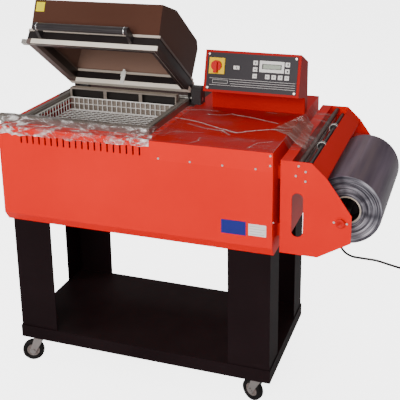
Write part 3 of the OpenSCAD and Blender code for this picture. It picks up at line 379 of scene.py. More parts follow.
def faces_inward(tree, centre):
    """1 on faces that look towards a centre, 0 on those that look away from it."""
    coordinates = add_node(tree, "TexCoord")
    offset = add_node(tree, "VectorMath", {"operation": "SUBTRACT"})
    tree.links.new(coordinates.outputs["Object"], offset.inputs[0])
    offset.inputs[1].default_value = centre
    facing = add_node(tree, "VectorMath", {"operation": "DOT_PRODUCT"})
    tree.links.new(offset.outputs[0], facing.inputs[0])
    tree.links.new(coordinates.outputs["Normal"], facing.inputs[1])
    return math_node(tree, "LESS_THAN", facing.outputs["Value"], 0.0)


HOOD_UP = (0.0, math.sin(HOOD_OPEN), math.cos(HOOD_OPEN))
HOOD_BACK = (0.0, math.cos(HOOD_OPEN), -math.sin(HOOD_OPEN))


def hood_band_material():
    """Black enamelled hood frame whose upper lip is a pale metal strip, with painted shade on the strip along the
    hood's sides.
    """
    material, tree, surface = new_material("hood_band", Specular_IOR_Level=0.3)
    height = place_along(tree, HOOD_UP, at(0, HINGE[0], HINGE[1]))
    strip = math_node(tree, "GREATER_THAN", height, 48.7 * MM)
    texture = place_group(tree, FINE_TEXTURE, Scale=380.0, Mottle_Scale=8.0)
    lines = place_group(tree, BRUSHED_LINES, Stretch=(5.0, 380.0, 380.0))
    enamel = mix_colour(tree, texture["Mottle"], rgba(0.006, 0.004, 0.004), rgba(0.018, 0.012, 0.012))
    bare = mix_colour(tree, lines["Share"], rgba(0.44, 0.35, 0.29), rgba(0.78, 0.69, 0.60))
    back = place_along(tree, HOOD_BACK, at(0, HINGE[0], HINGE[1]))
    # Painted shade: the pale strip turns dark brown-grey along the hood's sides
    middle = math_node(
        tree, "MULTIPLY", math_node(tree, "GREATER_THAN", back, GASKET_PALE[0] * MM),
        math_node(tree, "LESS_THAN", back, GASKET_PALE[1] * MM),
    )
    bare = mix_colour(tree, middle, bare, rgba(0.110, 0.075, 0.064))
    tree.links.new(mix_colour(tree, strip, enamel, bare), surface.inputs["Base Color"])
    tree.links.new(math_node(tree, "MULTIPLY", strip, 0.4), surface.inputs["Metallic"])
    tree.links.new(spread(tree, texture["Mottle"], 0.30, 0.50), surface.inputs["Roughness"])
    add_bump(tree, surface, texture["Height"], 0.05, 0.0008)
    return material


def hood_gasket_material():
    """Silicone gasket, pale along the front and the back; its sides are dark as painted shade, with a lighter painted
    highlight on the left side and at the front's left end.
    """
    material, tree, surface = new_material("hood_gasket", Specular_IOR_Level=0.3)
    texture = place_group(tree, FINE_TEXTURE, Scale=700.0, Mottle_Scale=14.0)
    back = place_along(tree, HOOD_BACK, at(0, HINGE[0], HINGE[1]))
    front_edge = math_node(tree, "LESS_THAN", back, GASKET_PALE[0] * MM)
    rear_edge = math_node(tree, "GREATER_THAN", back, GASKET_PALE[1] * MM)
    pale = mix_colour(tree, texture["Mottle"], rgba(0.72, 0.63, 0.52), rgba(0.92, 0.85, 0.76))
    # Painted shade on the gasket's sides
    dark = mix_colour(tree, texture["Mottle"], rgba(0.020, 0.012, 0.011), rgba(0.050, 0.032, 0.030))
    # Painted highlight: lighter brown-grey on the left side, and on the front's left end, which is left out of the pale
    # edge
    left = math_node(tree, "LESS_THAN", place_along(tree, (1.0, 0.0, 0.0), at(0, 0, 0)), GASKET_LEFT * MM)
    dark = mix_colour(tree, left, dark, rgba(0.120, 0.085, 0.075))
    cap = math_node(tree, "GREATER_THAN", place_along(tree, (1.0, 0.0, 0.0), at(0, 0, 0)), GASKET_CAP * MM)
    front_edge = math_node(tree, "MULTIPLY", front_edge, cap)
    edge = math_node(tree, "MAXIMUM", front_edge, rear_edge)
    tree.links.new(mix_colour(tree, edge, dark, pale), surface.inputs["Base Color"])
    tree.links.new(spread(tree, texture["Mottle"], 0.42, 0.60), surface.inputs["Roughness"])
    add_bump(tree, surface, texture["Height"], 0.10, 0.0006)
    return material


def smoked_sheet_material():
    """Brown smoked sheet of the hood: darker outside, faintly waved; its inner faces are painted paler and milky as
    painted light.
    """
    material, tree, surface = new_material("smoked_sheet", IOR=1.49, Specular_IOR_Level=0.06)
    texture = place_group(tree, FINE_TEXTURE, Scale=10.0, Mottle_Scale=2.2)
    inside = faces_inward(tree, at_hood(277, 220, 1000))
    outer = mix_colour(tree, texture["Mottle"], rgba(0.058, 0.022, 0.014), rgba(0.088, 0.036, 0.024))
    # Painted light: the inner faces are paler than the outer ones
    inner = mix_colour(tree, texture["Mottle"], rgba(0.200, 0.116, 0.088), rgba(0.260, 0.158, 0.122))
    dirt = place_group(tree, SETTLED_DUST, Amount=0.08)["Share"]
    sheet = mix_colour(tree, inside, outer, inner)
    tree.links.new(mix_colour(tree, dirt, sheet, rgba(0.30, 0.24, 0.20)), surface.inputs["Base Color"])
    tree.links.new(spread(tree, texture["Mottle"], 0.30, 0.46), surface.inputs["Roughness"])
    add_bump(tree, surface, texture["Height"], 0.04, 0.004)
    return material


def duct_material():
    """Sheet steel outside, with near-black painted shade on the inner faces so its windows read as holes."""
    material, tree, surface = new_material("duct_steel")
    lines = place_group(tree, BRUSHED_LINES, Stretch=(4.0, 360.0, 360.0))
    inside = faces_inward(tree, at(277, 353, 828))
    steel = mix_colour(tree, lines["Share"], rgba(0.30, 0.25, 0.21), rgba(0.56, 0.49, 0.43))
    # Painted shade: the inner faces are nearly black
    tree.links.new(mix_colour(tree, inside, steel, rgba(0.010, 0.007, 0.006)), surface.inputs["Base Color"])
    tree.links.new(math_node(tree, "SUBTRACT", 0.85, inside, clamp=True), surface.inputs["Metallic"])
    tree.links.new(spread(tree, lines["Share"], 0.30, 0.50), surface.inputs["Roughness"])
    add_bump(tree, surface, lines["Height"], 0.08, 0.0005)
    return material


def wound_film_material():
    """Film roll: plum-grey side with lighter bands round it as painted sheen, silvery wound ends with rings and painted
    glints.
    """
    material, tree, surface = new_material(
        "wound_film", IOR=1.5, Specular_IOR_Level=0.10
    )
    centre = at(REEL_AXIS[0], 0, REEL_AXIS[1])
    across = place_along(tree, (1.0, 0.0, 0.0), centre)
    upright = place_along(tree, (0.0, 0.0, 1.0), centre)
    radius = math_node(
        tree, "SQRT",
        math_node(tree, "ADD", math_node(tree, "POWER", across, 2.0), math_node(tree, "POWER", upright, 2.0)),
    )
    angle = math_node(tree, "ARCTAN2", upright, across)
    normal = add_node(tree, "SeparateXYZ", Vector=add_node(tree, "TexCoord").outputs["Normal"])
    end = math_node(tree, "GREATER_THAN", math_node(tree, "ABSOLUTE", normal.outputs["Y"]), 0.7)

    def wave(value, scale, other, other_scale, detail):
        place = add_node(tree, "CombineXYZ")
        tree.links.new(math_node(tree, "MULTIPLY", value, scale), place.inputs["X"])
        tree.links.new(math_node(tree, "MULTIPLY", other, other_scale), place.inputs["Y"])
        return add_node(
            tree, "TexNoise", Vector=place.outputs[0], Scale=1.0, Detail=detail
        ).outputs["Fac"]

    rings = wave(radius, 700.0, angle, 0.8, 6.0)
    broad_rings = wave(radius, 170.0, angle, 0.5, 3.0)
    # Painted glints: the end rings are brighter in some sectors round the axis
    sector = steps(tree, wave(angle, 1.1, radius, 6.0, 2.0), (0.36, 0.15), (0.62, 1.0))
    rings = math_node(tree, "MULTIPLY", math_node(tree, "ADD", rings, broad_rings), 0.5)
    length = place_along(tree, (0.0, 1.0, 0.0), centre)
    bands = wave(angle, 2.2, length, 1.2, 3.0)
    warm = steps(tree, wave(angle, 1.3, length, 0.8, 2.0), (0.42, 0.0), (0.58, 1.0))
    # Painted sheen: the lighter bands round the roll's side
    lit = mix_colour(tree, warm, rgba(0.185, 0.138, 0.180), rgba(0.160, 0.112, 0.116))
    side = mix_colour(tree, steps(tree, bands, (0.36, 0.0), (0.60, 1.0)), rgba(0.078, 0.054, 0.080), lit)
    glint = math_node(tree, "MULTIPLY", sector, steps(tree, rings, (0.42, 0.05), (0.50, 0.30), (0.60, 1.0)))
    face = mix_colour(tree, glint, rgba(0.010, 0.008, 0.016), rgba(0.66, 0.64, 0.72))
    tree.links.new(mix_colour(tree, end, side, face), surface.inputs["Base Color"])
    tree.links.new(spread(tree, bands, 0.26, 0.42), surface.inputs["Roughness"])
    height = mix_colour(tree, end, bands, rings)
    add_bump(tree, surface, height, 0.35, 0.003)
    return material


def clear_film_material(name, veil, white, tint):
    """Thin clear film: a faint veil, made whitish and less clear by painted highlights where the mesh's painted
    highlight share is high.
    """
    material, tree, surface = new_material(name, IOR=1.5, Specular_IOR_Level=0.8, Roughness=0.12)
    place = add_node(tree, "TexCoord").outputs["Object"]
    painted_highlight_share = add_node(tree, "Attribute", {"attribute_name": "painted_highlight_share"}).outputs["Fac"]
    fine = add_node(tree, "TexNoise", Vector=place, Scale=90.0, Detail=5.0).outputs["Fac"]
    cloud = add_node(tree, "TexNoise", Vector=place, Scale=11.0, Detail=3.0).outputs["Fac"]
    # Painted highlights: the share makes the film whitish and less clear, broken up by fine noise
    broken = math_node(tree, "MULTIPLY", painted_highlight_share, steps(tree, fine, (0.30, 0.62), (0.62, 1.0)))
    bump = add_node(tree, "Bump", Strength=0.5, Distance=0.002)
    tree.links.new(math_node(tree, "ADD", fine, cloud), bump.inputs["Height"])
    tree.links.new(bump.outputs["Normal"], surface.inputs["Normal"])
    edge_on = add_node(tree, "Fresnel", IOR=1.35)
    tree.links.new(bump.outputs["Normal"], edge_on.inputs["Normal"])
    share = math_node(tree, "ADD", math_node(tree, "MULTIPLY", broken, white), math_node(tree, "MULTIPLY", edge_on.outputs["Fac"], 0.14))
    share = math_node(tree, "ADD", share, math_node(tree, "MULTIPLY", cloud, veil))
    tree.links.new(math_node(tree, "MINIMUM", share, 0.94), surface.inputs["Alpha"])
    tree.links.new(
        mix_colour(tree, broken, tint, rgba(0.95, 0.92, 0.90)), surface.inputs["Base Color"]
    )
    return material


def card_material():
    """Wound grey-brown card of the core, with near-black painted shade inside its bore."""
    material, tree, surface = new_material("core_card", Specular_IOR_Level=0.2)
    texture = place_group(tree, FINE_TEXTURE, Scale=300.0, Mottle_Scale=30.0)
    card = mix_colour(tree, texture["Mottle"], rgba(0.42, 0.34, 0.24), rgba(0.78, 0.72, 0.62))
    centre = at(REEL_AXIS[0], 0, REEL_AXIS[1])
    squares = [
        math_node(tree, "POWER", place_along(tree, axis, centre), 2.0) for axis in ((1.0, 0.0, 0.0), (0.0, 0.0, 1.0))
    ]
    radius = math_node(tree, "SQRT", math_node(tree, "ADD", *squares))
    # Painted shade inside the bore
    bore = math_node(tree, "LESS_THAN", radius, CORE_BORE * MM)
    tree.links.new(mix_colour(tree, bore, card, rgba(0.012, 0.010, 0.011)), surface.inputs["Base Color"])
    tree.links.new(spread(tree, texture["Mottle"], 0.70, 0.92), surface.inputs["Roughness"])
    add_bump(tree, surface, texture["Height"], 0.25, 0.0006)
    return material


def looks_up(tree):
    """1 on faces that look up."""
    normal = add_node(tree, "SeparateXYZ", Vector=add_node(tree, "TexCoord").outputs["Normal"])
    return math_node(tree, "GREATER_THAN", normal.outputs["Z"], 0.7)


def deck_shade_behind_duct(tree):
    """1 on the deck's top faces behind the hot-air outlet, where the casing carries painted shade."""
    origin = at(0, 0, 0)
    back = math_node(tree, "GREATER_THAN", place_along(tree, (0.0, 1.0, 0.0), origin), SHADED_DECK_CORNER[1] * MM)
    left = math_node(tree, "LESS_THAN", place_along(tree, (1.0, 0.0, 0.0), origin), SHADED_DECK_CORNER[0] * MM)
    return math_node(tree, "MULTIPLY", math_node(tree, "MULTIPLY", back, left), looks_up(tree))


RED = sprayed_paint(
    "red_paint", rgba(0.72, 0.005, 0.0015), rgba(0.82, 0.010, 0.004), 0.42, specular=0.10, wear=0.10, dust=0.03
)
# The casing's red, with a dark brown-red painted shade on the deck behind the hot-air outlet
CASING_RED = sprayed_paint(
    "casing_red_paint", rgba(0.72, 0.005, 0.0015), rgba(0.82, 0.010, 0.004), 0.42, specular=0.10, wear=0.10, dust=0.03,
    other=(rgba(0.050, 0.016, 0.012), deck_shade_behind_duct),
)
# The table's red, with its top faces painted a darker red as painted shade
TABLE_RED = sprayed_paint(
    "table_red_paint", rgba(0.76, 0.007, 0.003), rgba(0.84, 0.014, 0.007), 0.40, specular=0.08, wear=0.10, dust=0.02,
    other=(rgba(0.50, 0.004, 0.003), looks_up),
)
# A deeper red than the casing's: partly the console's own paint, partly painted shade under its overhang
CONSOLE_RED = sprayed_paint(
    "console_red_paint", rgba(0.36, 0.003, 0.002), rgba(0.45, 0.006, 0.004), 0.40, specular=0.06, wear=0.10, dust=0.02
)
HOLDER_RED = sprayed_paint(
    "holder_red_paint", rgba(0.60, 0.008, 0.005), rgba(0.70, 0.014, 0.009), 0.38, specular=0.07, wear=0.12, dust=0.02
)
DARK_RED = sprayed_paint(
    "inner_red_paint", rgba(0.20, 0.006, 0.004), rgba(0.34, 0.010, 0.007), 0.45, specular=0.15, dust=0.05
)
BLACK = sprayed_paint(
    "black_paint", rgba(0.0065, 0.0024, 0.0032), rgba(0.0120, 0.0058, 0.0070), 0.52, specular=0.06, dust=0.02, wear=0.2
)
PANEL = sprayed_paint(
    "panel_print", rgba(0.014, 0.010, 0.014), rgba(0.026, 0.020, 0.026), 0.42, grain=900.0, dust=0.0, specular=0.2, wear=0.1
)
STEEL = brushed_metal("brushed_steel", rgba(0.62, 0.58, 0.54), 0.34, (4.0, 360.0, 360.0))
DULL_STEEL = brushed_metal("dull_steel", rgba(0.34, 0.31, 0.28), 0.42, (4.0, 360.0, 360.0))
STEEL_ACROSS = brushed_metal("rolled_steel", rgba(0.60, 0.57, 0.54), 0.30, (360.0, 5.0, 360.0))
ROLLER_STEEL = brushed_metal("roller_steel", rgba(0.170, 0.120, 0.108), 0.44, (360.0, 5.0, 360.0))
ZINC = brushed_metal("zinc_plate", rgba(0.40, 0.37, 0.36), 0.42, (60.0, 60.0, 60.0))
BASKET_WIRE = moulded("basket_wire", rgba(0.60, 0.56, 0.52), rgba(0.90, 0.87, 0.84), 0.30, specular=0.7, dust=0.0)
LEMON = moulded("lemon_label", rgba(0.78, 0.62, 0.0), rgba(0.86, 0.72, 0.003), 0.45, dust=0.0, specular=0.06)
CHROME = brushed_metal("bright_metal", rgba(0.80, 0.79, 0.78), 0.14, (90.0, 240.0, 240.0), tint=0.9)
HEATED = brushed_metal("heated_steel", rgba(0.22, 0.17, 0.14), 0.50, (40.0, 40.0, 40.0), tint=0.5)
SEAL = moulded("silicone_seal", rgba(0.105, 0.088, 0.074), rgba(0.190, 0.165, 0.140), 0.52)
TYRE = moulded("tyre_rubber", rgba(0.004, 0.0035, 0.0035), rgba(0.011, 0.0095, 0.0095), 0.55, dust=0.02, specular=0.12)
WHEEL_HUB = moulded("wheel_plastic", rgba(0.150, 0.118, 0.110), rgba(0.250, 0.205, 0.195), 0.36, dust=0.05)
BLACK_PLASTIC = moulded("black_plastic", rgba(0.012, 0.010, 0.011), rgba(0.034, 0.028, 0.030), 0.44)
GRIP = moulded("grip_rubber", rgba(0.008, 0.006, 0.007), rgba(0.024, 0.018, 0.020), 0.36, grain=500.0)
YELLOW = moulded("yellow_plastic", rgba(0.88, 0.55, 0.004), rgba(0.95, 0.64, 0.008), 0.42, dust=0.0, specular=0.06)
KNOB_RED = moulded("red_plastic", rgba(0.50, 0.004, 0.003), rgba(0.62, 0.008, 0.006), 0.34, dust=0.0, specular=0.12)
PALE_PLASTIC = moulded("pale_plastic", rgba(0.74, 0.71, 0.69), rgba(0.90, 0.87, 0.85), 0.45, dust=0.0, specular=0.25)
GREY_PRINT = moulded("grey_print", rgba(0.30, 0.29, 0.28), rgba(0.44, 0.42, 0.41), 0.5, dust=0.02)
BLUE_LABEL = moulded("blue_label", rgba(0.012, 0.014, 0.150), rgba(0.018, 0.022, 0.215), 0.40, dust=0.0, specular=0.15)
WHITE_LABEL = moulded("white_label", rgba(0.66, 0.64, 0.62), rgba(0.82, 0.80, 0.77), 0.40, dust=0.03)
CORD_RUBBER = moulded("cord_rubber", rgba(0.010, 0.010, 0.010), rgba(0.026, 0.025, 0.025), 0.50, grain=700.0)
SCREEN = moulded("screen_glass", rgba(0.150, 0.190, 0.130), rgba(0.230, 0.270, 0.190), 0.16, dust=0.0)
HOOD_BAND = hood_band_material()
SMOKED = smoked_sheet_material()
WOUND_FILM = wound_film_material()
GASKET = hood_gasket_material()
DUCT = duct_material()
FILM = clear_film_material("clear_film", 0.05, 0.90, rgba(0.16, 0.10, 0.09))
FILM_FOLD = clear_film_material("folded_film", 0.95, 0.25, rgba(0.31, 0.115, 0.085))
PRINT_WHITE = moulded("white_print", rgba(0.50, 0.48, 0.47), rgba(0.66, 0.64, 0.62), 0.5, dust=0.0)
PRINT_DARK = moulded("dark_print", rgba(0.012, 0.011, 0.012), rgba(0.030, 0.028, 0.030), 0.5, dust=0.0)
CARD = card_material()

FINISH_OF = {
    "base_tray": BLACK, "legs": BLACK, "body_shell": CASING_RED, "work_table": TABLE_RED, "fasteners": STEEL,
    "chamber_tub": DARK_RED, "seal_frame": DULL_STEEL, "seal_pad": SEAL, "air_duct": DUCT,
    "fan_motor": BLACK, "fan_impeller": STEEL, "heater_element": HEATED, "transformer": HEATED,
    "hood_frame": HOOD_BAND, "hood_gasket": GASKET, "hood_shell": SMOKED, "seal_blade": STEEL,
    "hinge_shaft": STEEL, "hinge_blocks": BLACK_PLASTIC, "console_housing": CONSOLE_RED,
    "control_panel": PANEL, "switch_plate": YELLOW, "switch_knob": KNOB_RED,
    "display": PALE_PLASTIC, "rocker": PALE_PLASTIC, "roll_plate_front": RED,
    "roll_plate_rear": RED, "holder_back": HOLDER_RED, "guide_sheet": HOLDER_RED, "spindle": STEEL_ACROSS,
    "roll_core": CARD, "film_roll": WOUND_FILM, "guide_roller": ROLLER_STEEL,
    "tie_rods": STEEL_ACROSS, "perforator": BLACK_PLASTIC, "cable_gland": BLACK_PLASTIC,
    "plug": BLACK_PLASTIC, "hood_handle": GRIP, "caster_plates": ZINC,
}


def finish_of(name):
    if name.startswith("key_"):
        return PALE_PLASTIC
    if name.startswith("caster_"):
        return ZINC
    return FINISH_OF.get(name, BLACK_PLASTIC)


for node_name, node_object in NODES.items():
    node_object.data.materials.clear()
    node_object.data.materials.append(finish_of(node_name))


def soften(names, width, segments=2):
    """Rounds the folded and cut edges of solids a little, as paint and tooling do."""
    for name in names:
        edge = NODES[name].modifiers.new("soft_edges", "BEVEL")
        edge.width = width * MM
        edge.segments = segments
        edge.limit_method = "ANGLE"
        edge.angle_limit = math.radians(40)
        edge.harden_normals = False
        edge.use_clamp_overlap = True


soften(("body_shell", "work_table", "base_tray", "legs", "roll_plate_front", "roll_plate_rear"), 0.9)
soften(("console_housing",), 1.8, 3)
soften(("hood_shell",), 1.4, 3)
soften(("hood_frame", "hood_gasket", "seal_frame", "holder_back", "guide_sheet"), 0.8)
soften(("switch_plate", "display", "control_panel"), 0.6)
soften([n for n in NODES if n.startswith("key_")] + ["rocker", "switch_knob"], 1.0, 3)
soften(("hinge_blocks", "fan_motor", "transformer"), 1.5)


# Mesh helpers ---------------------------------------------------------------------------


def link_piece(name, mesh, material, body, *replaced, slot=None):
    """New piece from a bmesh or mesh data, riding on a body."""
    if isinstance(mesh, bmesh.types.BMesh):
        data = bpy.data.meshes.new(name)
        mesh.to_mesh(data)
        mesh.free()
        mesh = data
    piece = bpy.data.objects.new(name, mesh)
    bpy.context.scene.collection.objects.link(piece)
    for finish in material if isinstance(material, (list, tuple)) else (material,):
        mesh.materials.append(finish)
    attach(piece, body)
    if replaced:
        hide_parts(*replaced)
    return piece


def shade_smooth(mesh_or_bm, smooth=True):
    for face in mesh_or_bm.faces:
        face.smooth = smooth


def add_rod(bm, start, end, radius, sides=8):
    """Closed round rod between two points."""
    start, end = Vector(start), Vector(end)
    way = (end - start).normalized()
    side = way.orthogonal().normalized()
    other = way.cross(side)
    loops = []
    for point in (start, end):
        loops.append([
            bm.verts.new(point + radius * (math.cos(a) * side + math.sin(a) * other))
            for a in (2 * math.pi * k / sides for k in range(sides))
        ])
    for k in range(sides):
        face = bm.faces.new((loops[0][k], loops[0][(k + 1) % sides], loops[1][(k + 1) % sides], loops[1][k]))
        face.smooth = True
    bm.faces.new(loops[0][::-1])
    bm.faces.new(loops[1])


def add_tube(bm, points, radius, sides=8, closed=False):
    """Round wire that follows points, mitred at its bends."""
    points = [Vector(p) for p in points]
    count = len(points)
    loops = []
    side = None
    for i, point in enumerate(points):
        before = points[i - 1] if (i or closed) else None
        after = points[(i + 1) % count] if (i < count - 1 or closed) else None
        ways = [w.normalized() for w in ((point - before) if before is not None else None, (after - point) if after is not None else None) if w is not None]
        way = sum(ways, Vector()).normalized()
        if side is None:
            side = way.orthogonal().normalized()
        side = (side - way * side.dot(way)).normalized()
        other = way.cross(side)
        stretch = 1.0 / max(0.5, way.dot(ways[0]))
        loops.append([
            bm.verts.new(point + radius * (math.cos(a) * side + math.sin(a) * other) * (1 + (stretch - 1) * 0.7))
            for a in (2 * math.pi * k / sides for k in range(sides))
        ])
    for i in range(count if closed else count - 1):
        a, b = loops[i], loops[(i + 1) % count]
        for k in range(sides):
            bm.faces.new((a[k], a[(k + 1) % sides], b[(k + 1) % sides], b[k])).smooth = True
    if not closed:
        bm.faces.new(loops[0][::-1])
        bm.faces.new(loops[-1])


def add_block(bm, low, high, spot=at):
    """Box between two corners, each placed by spot."""
    corners = [
        bm.verts.new(spot(x, y, z)) for z in (low[2], high[2]) for y in (low[1], high[1]) for x in (low[0], high[0])
    ]
    for a, b, c, d in ((0, 2, 3, 1), (4, 5, 7, 6), (0, 1, 5, 4), (2, 6, 7, 3), (0, 4, 6, 2), (1, 3, 7, 5)):
        bm.faces.new([corners[i] for i in (a, b, c, d)])


def add_lathe(bm, profile, centre, axis, up, segments=48, material_index=0):
    """Solid of revolution: profile is (distance along axis, radius) in millimetres, closed."""
    axis, up = Vector(axis).normalized(), Vector(up).normalized()
    other = axis.cross(up)
    loops = []
    for k in range(segments):
        a = 2 * math.pi * k / segments
        way = math.cos(a) * up + math.sin(a) * other
        loops.append([bm.verts.new(centre + (s * axis + r * way) * MM) for s, r in profile])
    count = len(profile)
    for k in range(segments):
        a, b = loops[k], loops[(k + 1) % segments]
        for i in range(count):
            face = bm.faces.new((a[i], a[(i + 1) % count], b[(i + 1) % count], b[i]))
            face.smooth = True
            face.material_index = material_index


# Mains cord -----------------------------------------------------------------------------

CORD_DIAMETER = 10.0
CORD_FLOOR = 5.2
GLAND_END = (860.0, 666.0, 640.0)
CORD_ROUTE = [
    (860, 700, 640), (862, 780, 612), (872, 860, 530), (884, 940, 410), (898, 1020, 260),
    (911, 1082, 125), (926, 1128, 52), (958, 1158, 14), (1007, 1169, CORD_FLOOR),
    (1065, 1166, CORD_FLOOR), (1127, 1143, CORD_FLOOR), (1170, 1128, CORD_FLOOR),
]
COIL_START = (1262.0, 1100.0)
COIL_HEADING = -16.3
COIL_RADIUS = 66.0
COIL_PITCH = 12.4
COIL_LAYER = 10.8
COIL_TURNS = 2
COIL_TAIL = 55.0


def smooth_line(points, count):
    """Smooth line through points, with count pieces between two of them."""
    points = [Vector(p) for p in points]
    line = []
    for i in range(len(points) - 1):
        a, b, c, d = (points[max(0, min(len(points) - 1, j))] for j in (i - 1, i, i + 1, i + 2))
        for k in range(count):
            t = k / count
            line.append(0.5 * (
                2 * b + (c - a) * t + (2 * a - 5 * b + 4 * c - d) * t**2 + (3 * b - a - 3 * c + d) * t**3
            ))
    return line + [points[-1]]


def coil_points(per_turn=48):
    """The cord's coil: in on the floor, up in half a turn, and out again on top."""
    heading = math.radians(COIL_HEADING)
    way = Vector((math.cos(heading), math.sin(heading), 0))
    start = Vector((*COIL_START, 0))
    first = heading - math.pi / 2
    centre = start + 10.0 * way - COIL_RADIUS * Vector((math.cos(first), math.sin(first), 0))
    inward = 2 * math.pi * COIL_TURNS
    total = 2 * inward + math.pi
    points = []
    count = round(total / (2 * math.pi) * per_turn)
    for k in range(count + 1):
        a = total * k / count
        if a < inward:
            radius = COIL_RADIUS - COIL_PITCH * a / (2 * math.pi)
        elif a < inward + math.pi:
            radius = COIL_RADIUS - COIL_PITCH * COIL_TURNS
        else:
            radius = COIL_RADIUS - COIL_PITCH * (COIL_TURNS - (a - inward - math.pi) / (2 * math.pi))
        rise = max(0.0, min(1.0, (a - inward) / math.pi))
        height = CORD_FLOOR + COIL_LAYER * rise * rise * (3 - 2 * rise)
        spot = centre + radius * Vector((math.cos(first + a), math.sin(first + a), 0))
        points.append(Vector((spot.x, spot.y, height)))
    out = heading + total
    points.append(points[-1] + COIL_TAIL * Vector((math.cos(out), math.sin(out), 0)))
    return points


def make_cord():
    heading = math.radians(COIL_HEADING)
    lead_in = Vector((*COIL_START, CORD_FLOOR))
    way = Vector((math.cos(heading), math.sin(heading), 0))
    free = [GLAND_END, (GLAND_END[0], GLAND_END[1] + 2 * CORD_DIAMETER, GLAND_END[2])]
    free += CORD_ROUTE + [lead_in - 3 * CORD_DIAMETER * way, lead_in]
    line = smooth_line(free, 4) + coil_points()
    points = [at(*p) for p in line]
    curve = bpy.data.curves.new("mains_lead", "CURVE")
    curve.dimensions = "3D"
    curve.bevel_depth = CORD_DIAMETER / 2 * MM
    curve.bevel_resolution = 5
    curve.use_fill_caps = True
    spline = curve.splines.new("POLY")
    spline.points.add(len(points) - 1)
    for target, point in zip(spline.points, points):
        target.co = (*point, 1.0)
    lead = bpy.data.objects.new("mains_lead", curve)
    bpy.context.scene.collection.objects.link(lead)
    curve.materials.append(CORD_RUBBER)
    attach(lead, "machine")
    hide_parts("mains_cord", "cord_coil")
    return lead


make_cord()


# Casters --------------------------------------------------------------------------------

SWIVEL = {
    "front_left": (60.0, 62.0, 200.0), "front_right": (849.0, 62.0, 155.0),
    "rear_left": (60.0, 411.0, 182.0), "rear_right": (849.0, 411.0, 171.0),
}
TRAIL = 28.0
WHEEL_RADIUS = 37.5
WHEEL_HALF = 11.0


def make_wheels():
    """Rubber-tyred wheels with ribbed plastic centres, one pair of pieces to each caster."""
    for corner, (x, y, turn) in SWIVEL.items():
        angle = math.radians(turn)
        centre = at(x + TRAIL * math.cos(angle), y + TRAIL * math.sin(angle), WHEEL_RADIUS)
        axis = (-math.sin(angle), math.cos(angle), 0.0)
        tyre = bmesh.new()
        add_lathe(
            tyre,
            [(-7.4, 22.1), (-WHEEL_HALF, 24.6), (-WHEEL_HALF, 33.5), (-9.4, 35.9), (-5.5, 37.2), (0.0, WHEEL_RADIUS),
             (5.5, 37.2), (9.4, 35.9), (WHEEL_HALF, 33.5), (WHEEL_HALF, 24.6), (7.4, 22.1)],
            centre, axis, (0, 0, 1), 64,
        )
        link_piece("tyre_" + corner, tyre, TYRE, "wheel_" + corner, "caster_wheel_" + corner, slot="tyre")
        hub = bmesh.new()
        add_lathe(
            hub,
            [(-7.2, 22.0), (-7.2, 20.2), (-3.0, 19.0), (-3.0, 13.0), (-WHEEL_HALF, 10.5), (-WHEEL_HALF, 4.2),
             (WHEEL_HALF, 4.2), (WHEEL_HALF, 10.5), (3.0, 13.0), (3.0, 19.0), (7.2, 20.2), (7.2, 22.0)],
            centre, axis, (0, 0, 1), 64,
        )
        axis_v = Vector(axis)
        for k in range(10):
            a = 2 * math.pi * k / 10
            out = math.cos(a) * Vector((0, 0, 1)) + math.sin(a) * axis_v.cross(Vector((0, 0, 1)))
            for side in (-1, 1):
                add_rod(hub, centre + (11.8 * out + side * 4.0 * axis_v) * MM, centre + (19.6 * out + side * 4.0 * axis_v) * MM, 1.6 * MM)
        link_piece("wheel_centre_" + corner, hub, WHEEL_HUB, "wheel_" + corner, "caster_wheel_" + corner, slot="tyre")


make_wheels()


# Basket ---------------------------------------------------------------------------------

BASKET_LOW = (80.0, 74.0, 836.3)
BASKET_HIGH = (474.0, 336.0, 884.3)


def make_basket():
    """Welded wire basket: a stout rim, thinner wires down the sides and across the floor."""
    bm = bmesh.new()
    x0, y0, z0 = BASKET_LOW
    x1, y1, z1 = BASKET_HIGH
    stout, thin = 2.2, 1.45

    def loop(z, inset, radius):
        a, b = inset + radius, inset + radius
        corners = [(x0 + a, y0 + b, z), (x1 - a, y0 + b, z), (x1 - a, y1 - b, z), (x0 + a, y1 - b, z)]
        rounded = []
        for i, corner in enumerate(corners):
            before, after = corners[i - 1], corners[(i + 1) % 4]
            for other, share in ((before, 1.0), (before, 0.3), (after, 0.3), (after, 1.0)):
                way = (Vector(other) - Vector(corner)).normalized() * 6.0 * share
                rounded.append(at(*(Vector(corner) + way)))
        add_tube(bm, rounded, radius * MM, 8, closed=True)

    loop(z1 - stout, 0.0, stout)
    loop(z1 - 24.0, 0.0, thin)
    loop(z0 + stout, 0.0, stout)
    columns = 22
    rows = 14
    for i in range(1, columns):
        x = x0 + (x1 - x0) * i / columns
        wire = [(x, y0 + 2.5 * thin, z1 - stout), (x, y0 + 2.5 * thin, z0 + 3.0), (x, y0 + 6.0, z0 + thin),
                (x, y1 - 6.0, z0 + thin), (x, y1 - 2.5 * thin, z0 + 3.0), (x, y1 - 2.5 * thin, z1 - stout)]
        add_tube(bm, [at(*p) for p in wire], thin * MM, 6)
    for j in range(1, rows):
        y = y0 + (y1 - y0) * j / rows
        z = z0 + 3 * thin
        wire = [(x0 + 2.5 * thin, y, z1 - stout), (x0 + 2.5 * thin, y, z + 2.0), (x0 + 6.0, y, z),
                (x1 - 6.0, y, z), (x1 - 2.5 * thin, y, z + 2.0), (x1 - 2.5 * thin, y, z1 - stout)]
        add_tube(bm, [at(*p) for p in wire], thin * MM, 6)
    link_piece("wire_basket", bm, BASKET_WIRE, "basket", "basket", slot="steel")


make_basket()


# Film ----------------------------------------------------------------------------------

